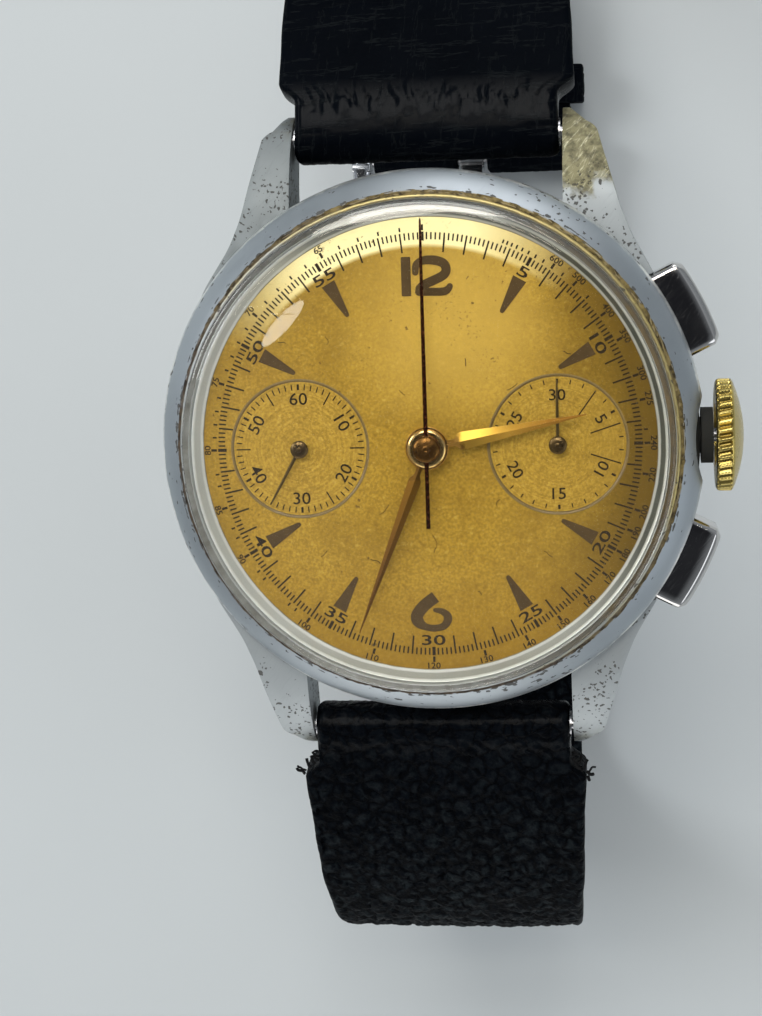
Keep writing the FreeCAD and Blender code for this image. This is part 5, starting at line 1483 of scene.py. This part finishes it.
def prong(name, x0, x1, yb, zb, r1, r0, y_end, ht, mat, body, phase):
    """end of the strap split in two and rolled round the buckle bar"""
    out = []
    a0 = math.radians(62)
    pe = (y_end, zb + ht)
    pc = (yb + r1 * math.cos(a0), zb + r1 * math.sin(a0))
    tg = (math.sin(a0), -math.cos(a0))
    L = math.hypot(pe[0] - pc[0], pe[1] - pc[1])
    up = bez3([pe, (pe[0] - L * 0.4, pe[1]), (pc[0] + tg[0] * L * 0.4, pc[1] + tg[1] * L * 0.4), pc], 22)
    out += up
    for k in range(1, 56):
        a = a0 + (2 * math.pi - 2 * a0) * k / 56
        out.append((yb + r1 * math.cos(a), zb + r1 * math.sin(a)))
    out += [(p_[0], 2 * zb - p_[1]) for p_ in reversed(up)]
    m_ = len(out)
    seg = 34
    v, f = [], []
    for i in range(seg + 1):
        x = x0 + (x1 - x0) * i / seg
        d = min(x - x0, x1 - x)
        e = 0.0
        if d < 0.4:
            e = 0.4 - math.sqrt(max(0.0, 0.16 - (0.4 - d) ** 2))
        for (yy, zz) in out:
            q = math.hypot(yy - yb, zz - zb)
            hgt = -0.03 + 0.05 * N3(x * 2.2, yy * 1.2, zz * 1.4 + phase, 1.0) + 0.02 * N3(x * 6, yy * 5, zz * 5, 1.0) - 0.75 * e
            ux, uz = (0.0, 1.0 if zz > zb else -1.0) if yy > yb + 1.2 else ((yy - yb) / q, (zz - zb) / q)
            v.append((x, yy + ux * hgt, zz + uz * hgt - Z0))
    b = len(v)
    ang = [math.atan2(p_[1] - zb, p_[0] - yb) for p_ in out]
    for x in (x0, x1):
        for a in ang:
            v.append((x, yb + r0 * math.cos(a), zb + r0 * math.sin(a) - Z0))
    for i in range(seg):
        for k in range(m_):
            kk = (k + 1) % m_
            f.append((i * m_ + k, i * m_ + kk, (i + 1) * m_ + kk, (i + 1) * m_ + k))
    for k in range(m_):
        kk = (k + 1) % m_
        f.append((b + k, b + kk, kk, k))
        f.append((seg * m_ + k, seg * m_ + kk, b + m_ + kk, b + m_ + k))
        f.append((b + k, b + m_ + k, b + m_ + kk, b + kk))
    o = add_mesh(name, v, f, mat, body, True, ())
    fix_normals(o)
    o.data.set_sharp_from_angle(angle=math.radians(60))
    return o


prong("buckle_loop_a", 1.28, 8.5, 19.2, 2.25, 1.5, 0.76, 23.1, 1.04, M_leath_c, "strap_short", 1.0)
prong("buckle_loop_b", -8.5, -1.28, 19.2, 2.25, 1.5, 0.76, 23.1, 1.04, M_leath_c, "strap_short", 6.0)


def band(name, cy, cz, wx, wt, axis, L, ths, tht, mat, body, rep, phase):
    """a closed leather keeper: ends butted and sewn flat on the wrist side"""
    path = []
    rc = 0.30
    n1, n2, n3 = 90, 14, 9
    cs = [(wx - rc, wt - rc, 0), (-(wx - rc), wt - rc, 90), (-(wx - rc), -(wt - rc), 180), (wx - rc, -(wt - rc), 270)]
    for ci, (px, pt, a0) in enumerate(cs):
        for k in range(n3 + 1):
            a = math.radians(a0 + 90 * k / n3)
            path.append((px + rc * math.cos(a), pt + rc * math.sin(a), math.cos(a), math.sin(a)))
        nx_, nt_, _ = cs[(ci + 1) % 4]
        a = math.radians(a0 + 90)
        nn = n1 if ci in (0, 2) else n2
        q0 = (px + rc * math.cos(a), pt + rc * math.sin(a))
        q1 = (nx_ + rc * math.cos(a), nt_ + rc * math.sin(a))
        for k in range(1, nn):
            u = k / nn
            path.append((q0[0] + (q1[0] - q0[0]) * u, q0[1] + (q1[1] - q0[1]) * u, math.cos(a), math.sin(a)))
    sec = []
    er = 0.24
    nb = 22
    for k in range(nb + 1):
        u = -1 + 2 * k / nb
        sec.append((u * (L / 2 - er), 1.0, u))
    for k in range(1, 5):
        a = math.radians(90 - 90 * k / 5)
        sec.append((L / 2 - er + er * math.cos(a), 2 + math.sin(a), 1.0))
    sec.append((L / 2, 3.0, 1.0))
    sec.append((L / 2 - 0.06, 4.0, 1.0))
    for k in range(1, 6):
        sec.append((L / 2 - 0.06 - (L - 0.12) * k / 6, 4.0, 0.0))
    sec.append((-L / 2 + 0.06, 4.0, -1.0))
    sec.append((-L / 2, 3.0, -1.0))
    for k in range(1, 5):
        a = math.radians(180 - 90 * k / 5)
        sec.append((-L / 2 + er - er * math.cos(math.pi - a), 2 + math.sin(a), -1.0))
    m_ = len(sec)
    v, f = [], []
    for (px, pt, nx_, nt_) in path:
        th = ths * abs(nx_) + tht * abs(nt_)
        for (b_, kind_, u) in sec:
            if kind_ == 1.0:
                a_ = th + 0.03 * (1 - u * u) - 0.06 + 0.035 * N3(px * 1.5, pt * 3 + phase, b_ * 1.5, 1.0) + 0.02 * N3(px * 5, pt * 5, b_ * 5 + phase, 1.0)
                g = min(abs(abs(b_) - (L / 2 - 0.62)), 1.0)
                a_ -= 0.07 * math.exp(-(g / 0.09) ** 2)
                if nt_ < -0.9:
                    a_ -= 0.16 * math.exp(-((px - 0.6) / 0.10) ** 2)
            elif kind_ == 3.0:
                a_ = th * 0.45
            elif kind_ == 4.0:
                a_ = 0.0
            else:
                a_ = th - er - 0.06 + er * (kind_ - 2)
            if axis == "y":
                v.append((px + nx_ * a_, cy + b_, cz + pt + nt_ * a_ - Z0))
            else:
                v.append((px + nx_ * a_, cy + pt + nt_ * a_, cz + b_ - Z0))
    n_ = len(path)
    for i in range(n_):
        ii = (i + 1) % n_
        for k in range(m_):
            kk = (k + 1) % m_
            f.append((i * m_ + k, i * m_ + kk, ii * m_ + kk, ii * m_ + k))
    o = add_mesh(name, v, f, mat, body, True, rep)
    fix_normals(o)
    o.data.set_sharp_from_angle(angle=math.radians(60))
    return o


band("keeper_fixed_leather", 25.0, 2.25, 8.76, 1.08, "y", 3.2, 0.74, 0.86, M_leath_c, "strap_short", ("fixed_keeper",), 2.0)
band("keeper_sliding_leather", 38.4, 19.15, 9.5, 1.34, "z", 3.5, 0.78, 0.64, M_leath_c, "sliding_keeper", ("sliding_keeper",), 9.0)

# frayed thread ends beside the lower half
import random
rnd = random.Random(7)


def thread(name, pts, r, body):
    cu = bpy.data.curves.new(name, "CURVE")
    cu.dimensions = "3D"
    sp = cu.splines.new("NURBS")
    sp.points.add(len(pts) - 1)
    for i, p in enumerate(pts):
        sp.points[i].co = (*P(*p), 1)
    sp.use_endpoint_u = True
    sp.order_u = 3
    cu.bevel_depth = r * MM
    cu.bevel_resolution = 2
    o = bpy.data.objects.new(name, cu)
    bpy.context.collection.objects.link(o)
    dg = bpy.context.evaluated_depsgraph_get()
    dg.update()
    me = bpy.data.meshes.new_from_object(o.evaluated_get(dg))
    bpy.data.objects.remove(o)
    q = bpy.data.objects.new(name, me)
    bpy.context.collection.objects.link(q)
    me.materials.clear()
    me.materials.append(M_thread)
    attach(q, body)
    return q


cnt = 0
for sx, n in ((1, 11), (-1, 7)):
    for i in range(n):
        s_i = 1.9 + 1.9 * i / n
        half = 8.8 + 1.05 * (0.5 - 0.5 * math.cos(math.pi * max(0.0, min(1.0, (s_i - 2.3) / 1.2))))
        q = [(sx * (half + (0.08 if sx > 0 else -0.05)), -(BAR_Y + s_i * 0.99), BAR_W - 0.12 * s_i + 0.9)]
        ang_ = rnd.uniform(-0.9, 0.9)
        st = rnd.uniform(0.09, 0.16)
        for k in range(1, 6):
            ang_ += rnd.uniform(-0.9, 0.9)
            q.append((q[-1][0] + sx * st * max(0.15, math.cos(ang_)), q[-1][1] + st * math.sin(ang_), q[-1][2] + rnd.uniform(-0.10, 0.14)))
        thread("thread_end_%d" % cnt, q, 0.07 + 0.05 * rnd.random(), "strap_long")
        cnt += 1

# ------------------------------------------------------------------ CAD pieces that stay, with their finishes
record = frame["record"]
slot_of = {s["node"]: s["material_slot"] for s in record["subparts"]}
by_slot = {"case_chrome": M_case, "case_steel": M_back, "crystal": M_crystal, "inner_ring": M_rehaut, "gasket": M_gasket,
           "dial_champagne": M_dial, "gilt_hands": M_gilt, "crown_gilt": M_crown, "movement_plate": M_move, "wheel_brass": M_wheel,
           "steel": M_steel, "jewel": M_jewel, "leather_black": M_leath_c}
for name, o in NODES.items():
    m = by_slot.get(slot_of.get(name, ""), M_steel)
    if name in ("buckle_frame", "buckle_tongue"):
        m = M_buckle
    if name == "sliding_keeper" or name == "fixed_keeper":
        m = M_leath_c
    me = o.data
    if len(me.materials) == 0:
        me.materials.append(m)
    for i in range(len(me.materials)):
        me.materials[i] = m
    for s in o.material_slots:
        s.material = m
    if name == "buckle_frame":
        # the rubbed arrises are rounded
        w_ = o.modifiers.new("weld", "WELD")
        w_.merge_threshold = 2e-6
        b_ = o.modifiers.new("rub", "BEVEL")
        b_.width = 0.00018
        b_.segments = 2
        b_.limit_method = "ANGLE"
        b_.angle_limit = math.radians(50)
        b_.harden_normals = True
        b_.use_clamp_overlap = True

# the case with its lugs hollowed along the outer flank and clipped at the tip
src = NODES["mid_case"]
bm = bmesh.new()
bm.from_mesh(src.data)
bm.transform(src.matrix_world)
bmesh.ops.remove_doubles(bm, verts=bm.verts, dist=2e-6)
me = bpy.data.meshes.new("case_body")
bm.to_mesh(me)
bm.free()
me.materials.clear()
me.materials.append(M_case)
cb = bpy.data.objects.new("case_body", me)
bpy.context.collection.objects.link(cb)
cuts = []
for sx, sy, k_ in ((-1, 1, 1.30), (1, 1, 0.72), (-1, -1, 1.0), (1, -1, 0.95)):
    base_ = [(8.0, 15.97, 0.0), (9.3, 15.42, 0.02), (10.6, 14.95, 0.12), (11.8, 14.50, 0.38), (13.1, 14.0, 0.64), (14.2, 13.63, 0.76), (15.4, 13.22, 0.80), (17.2, 12.62, 0.70), (19.0, 12.0, 0.58), (20.2, 11.6, 0.48)]
    out = []
    for i in range(len(base_) - 1):
        p0, p1, p2, p3 = (base_[max(0, i - 1)], base_[i], base_[i + 1], base_[min(len(base_) - 1, i + 2)])
        for j in range(4):
            u = j / 4
            q = []
            for c_ in range(3):
                q.append(0.5 * (2 * p1[c_] + (p2[c_] - p0[c_]) * u + (2 * p0[c_] - 5 * p1[c_] + 4 * p2[c_] - p3[c_]) * u * u + (3 * p1[c_] - p0[c_] - 3 * p2[c_] + p3[c_]) * u ** 3))
            out.append((q[1] - k_ * q[2], q[0]))
    out.append((11.6 - 0.48 * k_, 20.2))
    ex, ey = out[-1]
    for j in range(1, 5):
        a = math.radians(90 * j / 5)
        out.append((ex - 0.42 * (1 - math.cos(a)) - 0.10 * j, ey + 0.38 * math.sin(a) + 0.05 * j))
    out += [(9.75, 21.45), (9.4, 21.75), (9.4, 22.6), (23.0, 22.6), (23.0, 8.0)]
    n_ = len(out)
    vs = [P(sx * a, sy * b, -12.0) for a, b in out] + [P(sx * a, sy * b, 1.0) for a, b in out]
    fs = [tuple(range(n_)), tuple(range(2 * n_ - 1, n_ - 1, -1))] + [(i, n_ + i, n_ + (i + 1) % n_, (i + 1) % n_) for i in range(n_)]
    cm = bpy.data.meshes.new("cut")
    cm.from_pydata(vs, [], fs)
    co_ = bpy.data.objects.new("cut", cm)
    bpy.context.collection.objects.link(co_)
    fix_normals(co_)
    m_ = cb.modifiers.new("lug", "BOOLEAN")
    m_.operation = "DIFFERENCE"
    m_.solver = "EXACT"
    m_.object = co_
    bake(cb)
    bpy.data.objects.remove(co_)
w_ = cb.modifiers.new("weld", "WELD")
w_.merge_threshold = 2e-6
b_ = cb.modifiers.new("rub", "BEVEL")
b_.width = 0.00020
b_.segments = 2
b_.limit_method = "ANGLE"
b_.angle_limit = math.radians(50)
b_.use_clamp_overlap = True
bake(cb)
fix_normals(cb)
for p in cb.data.polygons:
    p.use_smooth = True
    p.material_index = 0
cb.data.set_sharp_from_angle(angle=math.radians(35))
cb.data.materials.clear()
cb.data.materials.append(M_case)
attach(cb, "case")
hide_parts("mid_case")

# ------------------------------------------------------------------ floor, light, camera
floor_t = NT("floor_pale")
nfl = floor_t.noise(30.0, 3.0, 0.5)
floor_t.principled(floor_t.mix(nfl, (0.56, 0.59, 0.60), (0.60, 0.63, 0.64)), 0.6, 0.0)
me = bpy.data.meshes.new("floor")
s = 1.5
me.from_pydata([(-s, -s, 0), (s, -s, 0), (s, s, 0), (-s, s, 0)], [], [(0, 1, 2, 3)])
me.materials.append(floor_t.m)
floor = bpy.data.objects.new("floor", me)
bpy.context.collection.objects.link(floor)

world = bpy.data.worlds.new("studio")
bpy.context.scene.world = world
bpy.context.scene.view_settings.view_transform = "Standard"
world.use_nodes = True
wt = world.node_tree
wt.nodes.clear()
wo = wt.nodes.new("ShaderNodeOutputWorld")
bg = wt.nodes.new("ShaderNodeBackground")
wc = wt.nodes.new("ShaderNodeTexCoord")
wsx = wt.nodes.new("ShaderNodeSeparateXYZ")
wt.links.new(wc.outputs["Generated"], wsx.inputs[0])
wr = wt.nodes.new("ShaderNodeValToRGB")
el = wr.color_ramp.elements
el[0].position, el[0].color = 0.0, (0.60, 0.66, 0.70, 1)
el[1].position, el[1].color = 1.0, (0.035, 0.038, 0.045, 1)
for p_, c_ in ((0.30, (0.80, 0.86, 0.92, 1)), (0.80, (0.58, 0.63, 0.67, 1)), (0.93, (0.34, 0.37, 0.40, 1)), (0.975, (0.06, 0.065, 0.075, 1))):
    e_ = el.new(p_)
    e_.color = c_
wt.links.new(wsx.outputs[2], wr.inputs[0])
wt.links.new(wr.outputs[0], bg.inputs[0])
bg.inputs[1].default_value = 0.42
wt.links.new(bg.outputs[0], wo.inputs[0])


def area(name, loc, target, size, energy, color=(1, 1, 1), size_y=None, roll=0.0):
    li = bpy.data.lights.new(name, "AREA")
    li.energy = energy * 0.42
    li.size = size
    if size_y:
        li.shape = "RECTANGLE"
        li.size_y = size_y
    li.color = color
    o = bpy.data.objects.new(name, li)
    bpy.context.collection.objects.link(o)
    o.location = loc
    d = Vector(target) - Vector(loc)
    o.rotation_euler = (d.to_track_quat("-Z", "Y").to_matrix() @ Matrix.Rotation(roll, 3, "Z")).to_euler()
    return o


T0 = (0, 0, 0.045)
area("arc", (-0.02, 0.226, 0.62), T0, 0.36, 1.0, (1.0, 0.95, 0.84), 0.036)
area("key", (-0.05, 0.37, 0.58), T0, 0.30, 3.9, (1.0, 0.985, 0.95), 0.20)
area("left", (-0.42, 0.16, 0.34), T0, 0.20, 2.3, (0.95, 0.98, 1.0))
area("fill", (0.40, -0.22, 0.30), T0, 0.35, 1.2, (0.90, 0.95, 1.0))
area("crescent", (-0.238, 0.083, 0.650), T0, 0.078, 0.080, (1.0, 0.97, 0.86), 0.019, math.radians(-25)).data.shape = "ELLIPSE"
area("front", (-0.08, -0.50, 0.13), T0, 0.50, 3.0, (1.0, 0.99, 0.96))
area("rim", (0.08, 0.42, 0.14), T0, 0.30, 1.0, (1, 1, 1), 0.10)

cam = bpy.data.cameras.new("camera")
camo = bpy.data.objects.new("camera", cam)
bpy.context.collection.objects.link(camo)
R = Matrix(((0.9926789209242315, -0.032433995394820635, -0.11634687746317969),
            (0.013906448611922202, 0.9875562463690728, -0.15665015462625995),
            (0.11997987597804625, 0.15388533458441042, 0.980777310687873)))
mw = R.transposed().to_4x4()
mw.translation = Vector(P(13.143867993812046, 16.993451983087596, 134.1222782047939))
camo.matrix_world = mw
cam.sensor_fit = "VERTICAL"
cam.sensor_height = 36.0
cam.sensor_width = 27.0
cam.lens = 73.398
cam.clip_start = 0.002
cam.clip_end = 10.0
cam.dof.use_dof = False
bpy.context.scene.camera = camo
